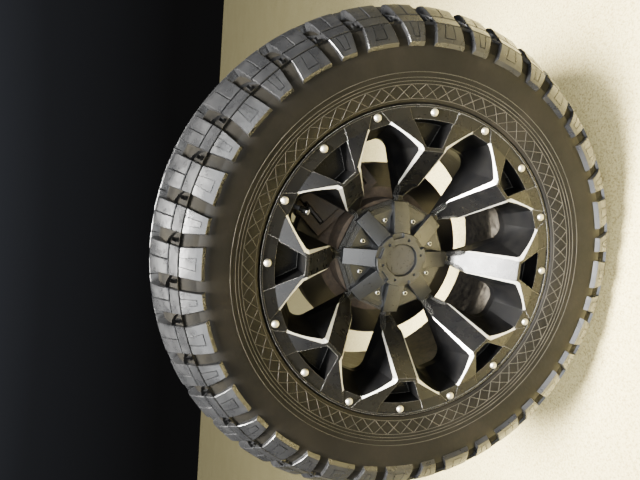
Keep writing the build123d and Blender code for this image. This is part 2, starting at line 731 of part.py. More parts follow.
def centre_cap():
    """A star with one arm to each spoke, round a notched boss, on a stepped eight-sided base."""
    cap = turned(
        [
            (0, CAP_TOP),
            (CAP_BOSS_RADIUS - CAP_BOSS_EDGE, CAP_TOP),
            (CAP_BOSS_RADIUS, CAP_TOP + CAP_BOSS_EDGE),
            (CAP_BOSS_RADIUS, HUB_FACE),
            (0, HUB_FACE),
        ]
    )
    side_on = Rot(0, 0, 180 / SPOKES)
    for n in range(CAP_STEPS):
        apothem = CAP_APOTHEM - n * CAP_STEP_WIDTH
        top = HUB_FACE - CAP_FLOOR_THICK - n * CAP_STEP_RISE
        step = side_on * octagon(apothem)
        if n > 0:
            step -= side_on * octagon(CAP_PAD_OUTER - 1)
        cap += slab(step, top, HUB_FACE)
    cap += around(cap_pad(), SPOKES, 180 / SPOKES)
    cap += cap_arms()
    screw_hole = rod(CAP_SHANK_RADIUS + SLIP, CAP_TOP, HUB_FACE)
    cap -= around(above(CAP_SCREW_CIRCLE / 2, screw_hole), SPOKES, 180 / SPOKES)
    cap -= rod(BADGE_RADIUS + BADGE_GROOVE, CAP_TOP, CAP_TOP + BADGE_DEPTH + BADGE_THICK)
    notch = block(
        -BOSS_NOTCH_WIDTH / 2, BOSS_NOTCH_WIDTH / 2, BOSS_NOTCH_RADIUS, CAP_BOSS_RADIUS + 1, CAP_TOP,
        CAP_TOP + BOSS_NOTCH_DEPTH,
    )
    cap -= around(notch, BOSS_NOTCHES, BOSS_NOTCH_ANGLE)
    hole = above(BOSS_HOLE_CIRCLE / 2, rod(BOSS_HOLE_RADIUS, CAP_TOP, CAP_TOP + BOSS_HOLE_DEPTH))
    cap -= around(hole, BOSS_NOTCHES, BOSS_HOLE_ANGLE)
    nut_room = above(LUG_CIRCLE / 2, rod(NUT_RADIUS + ROOM, NUT_FACE - ROOM, HUB_FACE))
    return cap - around(nut_room, LUGS)


def cap_badge():
    return rod(BADGE_RADIUS, CAP_TOP + BADGE_DEPTH, CAP_TOP + BADGE_DEPTH + BADGE_THICK)


def cap_screw():
    head = rod(CAP_SCREW_RADIUS, CAP_PAD_FACE - CAP_SCREW_HEAD, CAP_PAD_FACE)
    shank = rod(CAP_SHANK_RADIUS, CAP_PAD_FACE, HUB_FACE + CAP_SHANK_DEPTH)
    return above(CAP_SCREW_CIRCLE / 2, head + shank)


def at_valve(shape):
    """Set a shape drawn along the axle on the barrel's slope, square to it, in the middle of a window."""
    return spin(Pos(0, VALVE_DEPTH, VALVE_HEIGHT) * Rot(VALVE_TILT, 0, 0) * shape, 180 / SPOKES)


def valve_stem():
    """The valve with its cap on; its foot is sunk in the barrel."""
    cap_end = VALVE_CAP_LENGTH - VALVE_LENGTH
    return at_valve(
        turned(
            [
                (0, -VALVE_LENGTH),
                (VALVE_RADIUS - ROOM, -VALVE_LENGTH),
                (VALVE_RADIUS, 2 - VALVE_LENGTH),
                (VALVE_RADIUS, cap_end),
                (VALVE_NECK_RADIUS, cap_end),
                (VALVE_NECK_RADIUS, -2),
                (VALVE_FOOT_RADIUS, 0),
                (VALVE_FOOT_RADIUS, VALVE_FOOT_THICK),
                (0, VALVE_FOOT_THICK),
            ]
        )
    )


def valve_room():
    return at_valve(rod(VALVE_FOOT_RADIUS + SLIP, VALVE_ROOM_SHORT - VALVE_LENGTH, VALVE_FOOT_THICK + SLIP))


def lug_nut():
    nut = slab(RegularPolygon(NUT_RADIUS, 6), NUT_FACE, LUG_SEAT)
    nut -= rod(LUG_RADIUS + RUNNING, LUG_TIP - 1, LUG_SEAT)
    return above(LUG_CIRCLE / 2, nut)


def hub_flange():
    """Flange, wheel pilot, spindle and studs of the hub, bored for the drive shaft's spline."""
    hub = rod(HUB_FLANGE_RADIUS, FLANGE_FACE, FLANGE_FACE + HUB_FLANGE_THICK)
    hub += rod(PILOT_RADIUS - SLIP, MOUNT_FACE - PILOT_LENGTH, FLANGE_FACE)
    hub += rod(SPINDLE_RADIUS, FLANGE_FACE, SPINDLE_END)
    stud = above(LUG_CIRCLE / 2, rod(LUG_RADIUS, LUG_TIP, FLANGE_FACE))
    hub += around(stud, LUGS)
    return hub - rod(SPLINE_RADIUS, MOUNT_FACE - PILOT_LENGTH, SPINDLE_END)


def brake_disc():
    """A vented disc: two rings joined by vanes, on a hat that the wheel clamps to the hub."""
    vent_from = DISC_FACE + DISC_CHEEK
    vent_to = DISC_BACK - DISC_CHEEK
    disc = tube(PILOT_RADIUS, HAT_RADIUS, MOUNT_FACE, FLANGE_FACE)
    disc += tube(HAT_RADIUS - HAT_SIDE, HAT_RADIUS, FLANGE_FACE, DISC_FACE)
    disc += tube(HAT_RADIUS - HAT_SIDE, DISC_RADIUS, DISC_FACE, vent_from)
    disc += tube(DISC_INNER, DISC_RADIUS, vent_to, DISC_BACK)
    half = VANE_THICK / 2
    vane = block(-half, half, DISC_INNER + VANE_INSET, DISC_RADIUS - VANE_INSET, vent_from, vent_to)
    disc += around(vane, VANES)
    hole = above(LUG_CIRCLE / 2, rod(LUG_RADIUS + ROOM, MOUNT_FACE, FLANGE_FACE))
    return disc - around(hole, LUGS)


# ---- fixed parts ----

def housing_spots():
    """Places of the bearing housing's bolts, as (x, z)."""
    r = HOUSING_BOLT_CIRCLE / 2
    return [(r * sin(radians(a)), r * cos(radians(a))) for a in HOUSING_BOLT_ANGLES]


def at_spots(shape):
    return [Pos(x, 0, z) * shape for x, z in housing_spots()]


def hub_bearing():
    flange_from = SHIELD_FACE - HOUSING_FLANGE_THICK
    housing = rod(HOUSING_RADIUS - HOUSING_WAIST, HOUSING_START, SHIELD_FACE)
    housing += rod(HOUSING_FLANGE_RADIUS, flange_from, SHIELD_FACE)
    housing += rod(HOUSING_RADIUS - SLIP, SHIELD_FACE, KNUCKLE_BACK - SPINDLE_PROUD)
    housing -= rod(SPINDLE_RADIUS + RUNNING, HOUSING_START, KNUCKLE_BACK)
    return housing - at_spots(rod(HOUSING_BOLT_RADIUS + SLIP, flange_from, SHIELD_FACE))


def bearing_bolt():
    length = rod(HOUSING_BOLT_RADIUS, SHIELD_FACE - HOUSING_FLANGE_THICK + 2, KNUCKLE_BACK)
    head = slab(RegularPolygon(HOUSING_BOLT_HEAD, 6), KNUCKLE_BACK, KNUCKLE_BACK + HOUSING_BOLT_HEAD_THICK)
    return length + head


def at_caliper(shape):
    """Turn a shape drawn straight above the axle to the caliper's place."""
    return spin(shape, 90 - CALIPER_ANGLE)


def dust_shield():
    shield = tube(HOUSING_RADIUS, SHIELD_RADIUS, SHIELD_FACE, KNUCKLE_FACE)
    side = LEG_OUTER + SHIELD_OPEN_GAP
    low = BRACKET_BOLT_HEIGHT - BRACKET_BAR - SHIELD_OPEN_GAP
    shield -= at_caliper(block(-side, side, low, SHIELD_RADIUS, SHIELD_FACE, KNUCKLE_FACE))
    return shield - at_spots(rod(HOUSING_BOLT_RADIUS + SLIP, SHIELD_FACE, KNUCKLE_FACE))


def kingpin(shape, depth, height):
    """A shape drawn along the up axis, leant to the kingpin's line at a joint."""
    return Pos(0, depth, height) * Rot(-KINGPIN_TILT, 0, 0) * shape


def arm(sections):
    """A straight-sided arm through level rectangles given as (z, half width, near depth, far depth)."""
    faces = []
    for z, half, near, far in sections:
        faces.append(Plane.XY.offset(z) * Pos(0, (near + far) / 2) * Rectangle(2 * half, far - near))
    return loft(faces, ruled=True)


def joint_arm(side, rise, depth):
    """The arm from the knuckle's ring to a ball joint; side is 1 for the upper one and -1 for the lower."""
    lean = (depth - KNUCKLE_FACE - KNUCKLE_THICK / 2) / rise
    waist = (ARM_WAIST_RISE - KNUCKLE_RING_RADIUS / 2) * lean / 2
    root = (side * KNUCKLE_RING_RADIUS / 2, ARM_ROOT_HALF, KNUCKLE_FACE, KNUCKLE_BACK)
    middle = (side * ARM_WAIST_RISE, ARM_WAIST_HALF, KNUCKLE_FACE + waist / 2, KNUCKLE_BACK + waist)
    end = (side * rise, ARM_END_HALF, depth - ARM_END_THICK / 2, depth + ARM_END_THICK / 2)
    return arm([root, middle, end])


def steering_arm():
    faces = []
    end_reach = STEER_REACH - STEER_BOSS_RADIUS / 2
    half_end = STEER_END_THICK / 2
    sections = (
        (-STEER_ROOT, -STEER_ROOT_HEIGHT, STEER_ROOT_TALL, KNUCKLE_FACE, KNUCKLE_BACK),
        (-end_reach, -STEER_DROP, STEER_END_TALL, STEER_DEPTH - half_end, STEER_DEPTH + half_end),
    )
    for x, z, tall, near, far in sections:
        plane = Plane(origin=(x, (near + far) / 2, z), x_dir=(0, 1, 0), z_dir=(-1, 0, 0))
        faces.append(plane * Rectangle(far - near, tall))
    return loft(faces, ruled=True)


def joint_boss(body, depth, height, outer_side):
    """Add a ball joint's boss to the knuckle and bore it; its far end is faced off to the boss's length."""
    body += kingpin(Cylinder(JOINT_BOSS_RADIUS, JOINT_BOSS_LENGTH), depth, height)
    face = above(-outer_side * JOINT_BOSS_LENGTH, Cylinder(SPOT_FACE_RADIUS, JOINT_BOSS_LENGTH))
    body -= kingpin(face, depth, height)
    return body - kingpin(Cylinder(JOINT_BORE_RADIUS, 2 * JOINT_BOSS_LENGTH), depth, height)


def knuckle():
    body = rod(KNUCKLE_RING_RADIUS, KNUCKLE_FACE, KNUCKLE_BACK)
    body += joint_arm(1, UPPER_JOINT_RISE, UPPER_JOINT_DEPTH)
    body += joint_arm(-1, LOWER_JOINT_DROP, LOWER_JOINT_DEPTH)
    body += steering_arm()
    steer = Pos(-STEER_REACH, STEER_DEPTH, -STEER_DROP)
    body += steer * Cylinder(STEER_BOSS_RADIUS, STEER_BOSS_LENGTH)
    half = BRACKET_BOLT_SPACING / 2
    ear = half + BRACKET_EAR_HALF
    ear_top = BRACKET_BOLT_HEIGHT + BRACKET_EAR_HALF
    body += at_caliper(block(-ear, ear, HOUSING_RADIUS, ear_top, EAR_FACE, KNUCKLE_BACK))
    body -= at_spots(rod(HOUSING_BOLT_RADIUS + SLIP, KNUCKLE_FACE, KNUCKLE_BACK))
    # Room for a spanner on the bearing's bolts where the arms widen
    body -= at_spots(rod(HOUSING_BOLT_HEAD + SPANNER_ROOM, KNUCKLE_BACK, STEER_DEPTH))
    body -= rod(HOUSING_RADIUS, KNUCKLE_FACE, STEER_DEPTH)
    for x in (-half, half):
        hole = rod(BRACKET_BOLT_RADIUS + SLIP, EAR_FACE, KNUCKLE_BACK)
        body -= at_caliper(Pos(x, 0, BRACKET_BOLT_HEIGHT) * hole)
    body = joint_boss(body, UPPER_JOINT_DEPTH, UPPER_JOINT_RISE, 1)
    body = joint_boss(body, LOWER_JOINT_DEPTH, -LOWER_JOINT_DROP, -1)
    return body - steer * Cylinder(STEER_BORE_RADIUS, 2 * STEER_BOSS_LENGTH)


def pin_places():
    """Places across of the caliper's two slide pins."""
    reach = (LEG_INNER + LEG_OUTER) / 2
    return (-reach, reach)


def caliper_bracket():
    """A frame that straddles the disc: two legs over its edge, joined by a bar on each side."""
    near, rub = OUTER_PLATE - BRACKET_FRONT, DISC_FACE - DISC_CLEAR
    back = DISC_BACK + DISC_CLEAR
    low = HAT_RADIUS + BRACKET_LIFT
    web_low, web_top = BRACKET_BOLT_HEIGHT - BRACKET_WEB_HALF, BRACKET_BOLT_HEIGHT + BRACKET_WEB_HALF
    body = block(-LEG_OUTER, LEG_OUTER, low, low + BRACKET_BAR, near, rub)
    body += block(-LEG_OUTER, LEG_OUTER, web_low, web_top, back, EAR_FACE)
    for x0, x1 in ((-LEG_OUTER, -LEG_INNER), (LEG_INNER, LEG_OUTER)):
        body += block(x0, x1, low, LEG_TOP, near, rub)
        body += block(x0, x1, BRIDGE_LOW - LEG_SHOULDER, LEG_TOP, rub, back)
        body += block(x0, x1, web_low, LEG_TOP, back, EAR_FACE)
    body -= rod(DISC_RADIUS + DISC_CLEAR, rub, back)
    for x in (-BRACKET_BOLT_SPACING / 2, BRACKET_BOLT_SPACING / 2):
        body -= Pos(x, 0, BRACKET_BOLT_HEIGHT) * rod(BRACKET_BOLT_RADIUS + SLIP, back, EAR_FACE)
    for x in pin_places():
        body -= Pos(x, 0, PIN_HEIGHT) * rod(PIN_RADIUS + SLIP, back, EAR_FACE)
    return at_caliper(body)


def bracket_bolt(x):
    bolt = rod(BRACKET_BOLT_RADIUS, DISC_BACK + DISC_CLEAR + 2, KNUCKLE_BACK)
    bolt += slab(RegularPolygon(BRACKET_BOLT_HEAD, 6), KNUCKLE_BACK, KNUCKLE_BACK + BRACKET_BOLT_HEAD_THICK)
    return at_caliper(Pos(x, 0, BRACKET_BOLT_HEIGHT) * bolt)


def caliper():
    """A sliding caliper: two fingers outboard, a bridge over the disc and two cylinders inboard."""
    near = OUTER_PLATE - FINGER_THICK
    back = INNER_PLATE + PLATE_THICK
    block_end = back + CYLINDER_BLOCK_THICK
    step = CALIPER_HALF - CALIPER_STEP
    body = block(-CALIPER_HALF, CALIPER_HALF, BRIDGE_LOW, BRIDGE_HIGH, near, block_end)
    body += block(-step, step, FINGER_LOW, BRIDGE_HIGH, near, OUTER_PLATE)
    body -= block(-FINGER_GAP_HALF, FINGER_GAP_HALF, FINGER_LOW, FINGER_GAP_TOP, near, OUTER_PLATE)
    body += block(-CALIPER_HALF, CALIPER_HALF, CYLINDER_BLOCK_LOW, BRIDGE_HIGH, back, block_end)
    for x in (-PISTON_SPACING / 2, PISTON_SPACING / 2):
        body += Pos(x, 0, PISTON_HEIGHT) * rod(PISTON_RADIUS, back, back + PISTON_LENGTH)
    low, high = PIN_HEIGHT - PIN_EAR_HALF, PIN_HEIGHT + PIN_EAR_HALF
    for x0, x1 in ((-LEG_OUTER, -step), (step, LEG_OUTER)):
        body += block(x0, x1, low, high, PIN_EAR, PIN_EAR + PIN_EAR_THICK)
    for x in pin_places():
        body -= Pos(x, 0, PIN_HEIGHT) * rod(PIN_RADIUS + SLIP, PIN_EAR, PIN_EAR + PIN_EAR_THICK)
    return at_caliper(body)


def caliper_pin(x):
    ear_back = PIN_EAR + PIN_EAR_THICK
    pin = rod(PIN_RADIUS, DISC_BACK + DISC_CLEAR + PIN_START_GAP, ear_back)
    pin += slab(RegularPolygon(PIN_HEAD, 6), ear_back, ear_back + PIN_HEAD_THICK)
    return at_caliper(Pos(x, 0, PIN_HEIGHT) * pin)


def pad(lining_from, plate_from):
    """A brake pad: a lining cut to the disc's curve on a flat plate."""
    middle = (PAD_LOW + DISC_RADIUS) / 2
    shape = Circle(DISC_RADIUS - 2) & (Pos(0, middle) * Rectangle(2 * PAD_HALF, DISC_RADIUS - PAD_LOW))
    lining = slab(shape, lining_from, lining_from + LINING_THICK)
    return at_caliper(lining + slab(shape, plate_from, plate_from + PLATE_THICK))


def hose_fitting():
    """The banjo bolt and its block on the caliper's back, where the brake hose would join."""
    back = INNER_PLATE + PLATE_THICK + CYLINDER_BLOCK_THICK
    end = back + FITTING_LENGTH
    bolt = slab(RegularPolygon(FITTING_BOLT, 6), end, end + FITTING_BOLT_THICK)
    return at_caliper(above(FITTING_HEIGHT, rod(FITTING_RADIUS, back, end) + bolt))


def write(node, shape):
    """Save one node, moved so that the lower ball joint's bore is at the origin."""
    moved = Pos(0, -LOWER_JOINT_DEPTH, LOWER_JOINT_DROP) * shape
    export_step(moved, os.path.join("parts", node + ".step"))


def write_all():
    write("tyre", tyre())
    write("rim_barrel", rim_barrel())
    write("wheel_centre", wheel_centre())
    write("centre_cap", centre_cap())
    write("cap_badge", cap_badge())
    write("cap_screws", Compound(around(cap_screw(), SPOKES, 180 / SPOKES)))
    write("lip_studs", Compound(around(lip_stud(), LIP_STUDS)))
    write("valve_stem", valve_stem())
    write("lug_nuts", Compound(around(lug_nut(), LUGS)))
    write("hub_flange", hub_flange())
    write("brake_disc", brake_disc())
    write("knuckle", knuckle())
    write("hub_bearing", hub_bearing())
    write("bearing_bolts", Compound(at_spots(bearing_bolt())))
    write("dust_shield", dust_shield())
    write("caliper_bracket", caliper_bracket())
    half = BRACKET_BOLT_SPACING / 2
    write("bracket_bolts", Compound([bracket_bolt(-half), bracket_bolt(half)]))
    write("caliper", caliper())
    write("caliper_pins", Compound([caliper_pin(x) for x in pin_places()]))
    write("pad_outer", pad(DISC_FACE - PAD_GAP - LINING_THICK, OUTER_PLATE))
    write("pad_inner", pad(DISC_BACK + PAD_GAP, INNER_PLATE))
    write("hose_fitting", hose_fitting())


os.makedirs("parts", exist_ok=True)
write_all()
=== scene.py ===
"""Dresses a pickup truck's packed wheel end: a detailed tyre, studs and screws, and every part's finish."""

import json
from math import atan2, cos, hypot, pi, radians, sin

import bmesh
import bpy
from mathutils import Matrix, Vector


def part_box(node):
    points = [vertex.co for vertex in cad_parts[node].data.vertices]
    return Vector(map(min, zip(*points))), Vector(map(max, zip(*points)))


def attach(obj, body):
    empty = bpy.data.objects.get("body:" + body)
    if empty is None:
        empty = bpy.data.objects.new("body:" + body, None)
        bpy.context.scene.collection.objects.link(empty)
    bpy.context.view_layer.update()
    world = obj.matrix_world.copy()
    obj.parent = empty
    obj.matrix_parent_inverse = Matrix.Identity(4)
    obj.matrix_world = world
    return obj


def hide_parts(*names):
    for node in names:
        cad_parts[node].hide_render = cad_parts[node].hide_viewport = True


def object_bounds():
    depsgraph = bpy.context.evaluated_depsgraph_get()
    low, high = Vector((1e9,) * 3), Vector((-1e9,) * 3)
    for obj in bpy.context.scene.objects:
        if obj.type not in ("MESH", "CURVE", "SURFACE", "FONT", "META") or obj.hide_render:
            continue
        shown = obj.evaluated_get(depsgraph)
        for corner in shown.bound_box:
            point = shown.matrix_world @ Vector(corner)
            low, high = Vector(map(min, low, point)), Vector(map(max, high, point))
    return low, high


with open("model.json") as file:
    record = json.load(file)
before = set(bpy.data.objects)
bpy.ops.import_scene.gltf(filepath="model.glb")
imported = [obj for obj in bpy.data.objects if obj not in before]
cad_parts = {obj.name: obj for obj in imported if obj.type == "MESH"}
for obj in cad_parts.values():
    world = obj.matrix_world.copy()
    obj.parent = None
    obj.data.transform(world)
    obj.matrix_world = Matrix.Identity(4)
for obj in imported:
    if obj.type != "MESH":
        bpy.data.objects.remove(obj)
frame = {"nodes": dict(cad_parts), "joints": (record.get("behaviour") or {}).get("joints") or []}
cad_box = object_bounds()

MM = 0.001

# ---- Where the wheel is. Depths are in millimetres along +Y from the plane of the rim's lip ----

LIP_PROUD = 1.0
AXLE = Vector(frame["joints"][0]["pos_m"])
LIP_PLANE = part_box("rim_barrel")[0][1] + LIP_PROUD * MM


def wheel_point(radius, depth, angle):
    """A point of the wheel; the angle runs clockwise from straight up, as seen from outboard."""
    x, z = radius * MM * sin(angle), radius * MM * cos(angle)
    return Vector((AXLE.x + x, LIP_PLANE + depth * MM, AXLE.z + z))


# ---- Building meshes ----

class Shape:
    """Points and faces gathered for one object."""

    def __init__(self):
        self.points = []
        self.faces = []
        self.slots = []

    def point(self, place):
        self.points.append(tuple(place))
        return len(self.points) - 1

    def face(self, corners, slot=0):
        self.faces.append(corners)
        self.slots.append(slot)

    def band(self, first, second, slot=0, closed=True):
        """Quads between two rows of points."""
        count = len(first)
        for n in range(count if closed else count - 1):
            m = (n + 1) % count
            self.face((first[n], first[m], second[m], second[n]), slot)

    def turned(self, section, place, sides):
        """Revolve a section, which may start on its axis; place(radius, depth, angle) puts each point."""
        rings = []
        for radius, depth in section:
            if radius == 0:
                rings.append([self.point(place(0, depth, 0))])
            else:
                rings.append([self.point(place(radius, depth, 2 * pi * n / sides)) for n in range(sides)])
        for first, second in zip(rings, rings[1:]):
            if len(first) == 1:
                for n in range(sides):
                    self.face((first[0], second[n], second[(n + 1) % sides]))
            else:
                self.band(first, second)
        return rings

    def object(self, name, materials, sharp=35):
        mesh = bpy.data.meshes.new(name)
        mesh.from_pydata(self.points, [], self.faces)
        for material in materials:
            mesh.materials.append(material)
        mesh.polygons.foreach_set("material_index", self.slots)
        mesh.validate()
        repair_normals(mesh)
        mesh.shade_smooth()
        mesh.set_sharp_from_angle(angle=radians(sharp))
        made = bpy.data.objects.new(name, mesh)
        bpy.context.scene.collection.objects.link(made)
        return made


def repair_normals(mesh):
    """Turn every closed shell's faces outwards."""
    work = bmesh.new()
    work.from_mesh(mesh)
    bmesh.ops.recalc_face_normals(work, faces=work.faces)
    work.to_mesh(mesh)
    work.free()


# ---- Tyre: 35 inches high and 12.5 wide, in millimetres ----

TYRE_MIDDLE = 127.0
TYRE_SIDES = 180
LUG_PAIRS = 20
TREAD_PITCH = 2 * pi / (2 * LUG_PAIRS)
SIDE_SLOT, RIB_SLOT, LUG_SLOT, GROOVE_SLOT = range(4)
GROOVE_START = 370.0
TREAD_START = 400.0
# The lugs' faces in section, as (radius, depth) from the inner end to the middle of the tread
LUG_SECTION = [
    (352, -26.5), (363, -27), (374, -24.5), (385, -20), (398, -12), (405, -3), (413, 8), (424, 22),
    (434, 36), (439.5, 52), (441.3, 80), (441.8, 127),
]
# The tyre's body between them
SIDE_SECTION = [
    (262, 14), (268.5, 12.8), (274.5, 7), (277, 0), (288, -6), (300, -10), (322, -16.5), (345, -20),
    (358, -20.5), (372, -18), (385, -13), (398, -5),
]
GROOVE_SECTION = [(398.6, -3), (404, 6), (412, 18), (420, 33), (426, 55), (428.5, 85), (429, 127)]


CURVE_STEPS = 4


def smoothed(points):
    """A smooth curve through points, with more points on it."""
    curve = []
    last = len(points) - 1
    for k in range(last):
        before, start, end, after = (Vector(points[min(max(k + d, 0), last)]) for d in (-1, 0, 1, 2))
        for n in range(CURVE_STEPS):
            t = n / CURVE_STEPS
            pull = (end - before) * (t * (1 - t) ** 2) - (after - start) * (t * t * (1 - t))
            curve.append(start * (1 - 3 * t * t + 2 * t ** 3) + end * (3 * t * t - 2 * t ** 3) + pull / 2)
    return curve + [Vector(points[-1])]


class Skin:
    """A surface of the tyre in section, from one side to the other, measured along itself."""

    def __init__(self, half):
        far = [Vector((p.x, 2 * TYRE_MIDDLE - p.y)) for p in half[-2::-1]]
        self.points = half + far
        self.along = [0.0]
        for a, b in zip(self.points, self.points[1:]):
            self.along.append(self.along[-1] + (b - a).length)
        self.length = self.along[-1]
        self.outward = []
        for k in range(len(self.points)):
            a, b = self.points[max(k - 1, 0)], self.points[min(k + 1, len(self.points) - 1)]
            run = (b - a).normalized()
            self.outward.append(Vector((run.y, -run.x)))

    def at(self, s, lift=0.0):
        """Radius and depth at a distance along the section, lifted off it."""
        s = min(max(s, 0.0), self.length)
        k = 0
        while k < len(self.along) - 2 and self.along[k + 1] < s:
            k += 1
        part = (s - self.along[k]) / (self.along[k + 1] - self.along[k])
        spot = self.points[k].lerp(self.points[k + 1], part)
        out = self.outward[k].lerp(self.outward[k + 1], part).normalized()
        return spot + out * lift

    def reach(self, radius):
        """Distance along the section at which it first reaches a radius."""
        for k in range(len(self.points) - 1):
            low, high = self.points[k].x, self.points[k + 1].x
            if low <= radius <= high and high > low:
                return self.along[k] + (self.along[k + 1] - self.along[k]) * (radius - low) / (high - low)
        raise ValueError(radius)

    def across(self, depth):
        """Distance along the section at which it reaches a depth on the tread."""
        for k in range(len(self.points) - 1):
            low, high = self.points[k].y, self.points[k + 1].y
            if self.points[k].x > TREAD_START and low <= depth <= high and high > low:
                return self.along[k] + (self.along[k + 1] - self.along[k]) * (depth - low) / (high - low)
        raise ValueError(depth)


lug_skin = Skin(smoothed(LUG_SECTION))
body_skin = Skin(smoothed(SIDE_SECTION) + smoothed(GROOVE_SECTION))


def tyre_point(skin, s, lift, offset, angle, side):
    """A point of the tyre, offset round it from an angle; side -1 is the inboard half."""
    spot = skin.at(s, lift)
    flat = skin.at(s)
    depth = spot.y if side > 0 else 2 * TYRE_MIDDLE - spot.y
    return wheel_point(spot.x, depth, angle + offset / flat.x)


def rim_of(rows, columns):
    """The grid places round the edge of a grid, in order."""
    edge = [(0, j) for j in range(columns)]
    edge += [(i, columns - 1) for i in range(1, rows)]
    edge += [(rows - 1, j) for j in range(columns - 2, -1, -1)]
    return edge + [(i, 0) for i in range(rows - 2, 0, -1)]


# How deep a block goes, how much it widens on the way, and the bevel round its top
ROOT = 16.0
DRAFT = 1.2
CHAMFER = 0.9


def block(shape, rows, angle, side, root=ROOT, inner_draft=DRAFT, chamfer=CHAMFER):
    """A block of rubber: rows of (distance along the lugs' section, offsets round the tyre, lifts)."""
    last, columns = len(rows) - 1, len(rows[0][1])

    def place(i, j, inset, sink):
        s, offsets, lifts = rows[i]
        spread = -inset if sink < root else DRAFT
        offset = offsets[j]
        if i == 0:
            s -= spread if sink < root else inner_draft
        if i == last:
            s += spread
        if j == 0:
            offset -= spread
        if j == columns - 1:
            offset += spread
        lift = lifts[j] if sink == 0 else -sink
        return shape.point(tyre_point(lug_skin, s, lift, offset, angle, side))

    top = {(i, j): place(i, j, chamfer, 0) for i in range(last + 1) for j in range(columns)}
    edge = rim_of(last + 1, columns)
    shoulder = [place(i, j, 0, chamfer) for i, j in edge]
    foot = [place(i, j, 0, root) for i, j in edge]
    for i in range(last):
        for j in range(columns - 1):
            shape.face((top[i, j], top[i, j + 1], top[i + 1, j + 1], top[i + 1, j]), LUG_SLOT)
    shape.band([top[key] for key in edge], shoulder, LUG_SLOT)
    shape.band(shoulder, foot, LUG_SLOT)


def plain_rows(stations):
    """Rows of a block without a pattern, from (distance, left, right)."""
    return [(s, [a, (a + b) / 2, b], [0.0] * 3) for s, a, b in stations]


# Shoulder lugs, from the inner end over the inlay, the seam and the bar to the tread. The inlay is the part
# of a lug's face that a fine groove outlines; each wall of the groove falls over a run of STEEP
LINE = 1.3
LINE_DEPTH = 2.2
STEEP = 0.1
LUG_INNER = 364.5
LUG_INNER_ROOT = 10.0
LUG_INNER_DRAFT = 8.0
INLAY_START = 374.0
SEAM = 398.0
SEAM_HALF = 0.7
BAR_END = 412.0
BAR_GAP = 1.8
BAR_SPREAD = 1
OUTER_RADII = (420.0, 428.0, 436.0)
OUTER_DEPTHS = (44.0, 52.0, 61.0)
OUTER_HALVES = ((-1, -0.02), (0.02, 1))
OUTER_CHAMFER = 1.1
# Half widths at the inner end, the seam and the tread, and the inlay's sides at its inner end and at the seam
WIDE_LUG = (25.5, 22.5, 25.5, ((-9.5, 8.0), (-6.0, 6.5)))
NARROW_LUG = (12.5, 19.0, 21.5, ((-3.7, 3.7), (-6.0, 6.0)))


def inlaid_rows(inner, seam, inlay):
    """Rows of a lug's face with a four-sided inlay outlined by a fine groove; widths are (left, right)."""
    start, top, end = (lug_skin.reach(r) for r in (LUG_INNER, INLAY_START, SEAM - SEAM_HALF))
    stations = [start, top - LINE, top - LINE + STEEP, top - STEEP, top, (top + end) / 2, end]
    rows = []
    for n, s in enumerate(stations):
        part = (s - start) / (end - start)
        deep = (s - top) / (end - top)
        left, right = (a + (b - a) * part for a, b in zip(inner, seam))
        inlay_left, inlay_right = (a + (b - a) * max(deep, 0) for a, b in zip(*inlay))
        offsets = [
            left, inlay_left - LINE, inlay_left - LINE + STEEP, inlay_left - STEEP, inlay_left,
            inlay_right, inlay_right + STEEP, inlay_right + LINE - STEEP, inlay_right + LINE, right,
        ]
        lifts = [0.0] * 10
        if n in (2, 3):
            lifts[2:8] = [-LINE_DEPTH] * 6
        if n > 3:
            lifts[2:4] = [-LINE_DEPTH] * 2
            lifts[6:8] = [-LINE_DEPTH] * 2
        rows.append((s, offsets, lifts))
    return rows


def lug(shape, angle, side, sizes):
    """One shoulder lug: its inlaid face, the bar beyond the seam and the split block up to the tread."""
    inner, seam, outer, inlay = sizes
    face = inlaid_rows((-inner, inner), (-seam, seam), inlay)
    block(shape, face, angle, side, root=LUG_INNER_ROOT, inner_draft=LUG_INNER_DRAFT)
    wide = seam + BAR_SPREAD
    stations = [(lug_skin.reach(SEAM + SEAM_HALF), seam), (lug_skin.reach(BAR_END), wide)]
    block(shape, plain_rows([(s, -w, w) for s, w in stations]), angle, side)
    ends = [lug_skin.reach(radius) for radius in (BAR_END + BAR_GAP, *OUTER_RADII)]
    ends += [lug_skin.across(depth) for depth in OUTER_DEPTHS]
    for left, right in OUTER_HALVES:
        stations = []
        for n, s in enumerate(ends):
            width = wide + (outer - wide) * min(n / len(OUTER_RADII), 1)
            stations.append((s, left * width, right * width))
        block(shape, plain_rows(stations), angle, side, chamfer=OUTER_CHAMFER)


# The stepped plate in each shoulder groove: (radius, left, right), and how far it lies below the lugs
PLATE = ((399.5, -13, 13), (405, -13, 13), (410, -13, 9), (414, -13, 2), (417, -13, -7))
PLATE_DROP = 9.0
PLATE_CHAMFER = 0.8
# The small block on it, with a square hollow
BOX_RADII = (404.5, 405.4, 405.5, 408.3, 408.4, 409.5)
BOX_OFFSETS = [-2.6, -1.6, -1.5, 1.5, 1.6, 2.6]
BOX_DROP = 7.2
BOX_HOLLOW_DROP = 9.5
BOX_CHAMFER = 0.3


def ejector(shape, angle, side):
    """The stepped plate in a shoulder groove, with its little hollow block."""
    plate = []
    for radius, left, right in PLATE:
        plate.append((lug_skin.reach(radius), [left, (left + right) / 2, right], [-PLATE_DROP] * 3))
    block(shape, plate, angle, side, chamfer=PLATE_CHAMFER)
    rows = []
    for n, radius in enumerate(BOX_RADII):
        lifts = [-BOX_DROP] * len(BOX_OFFSETS)
        if n in (2, 3):
            lifts[2:4] = [-BOX_HOLLOW_DROP] * 2
        rows.append((lug_skin.reach(radius), BOX_OFFSETS, lifts))
    block(shape, rows, angle, side, chamfer=BOX_CHAMFER)


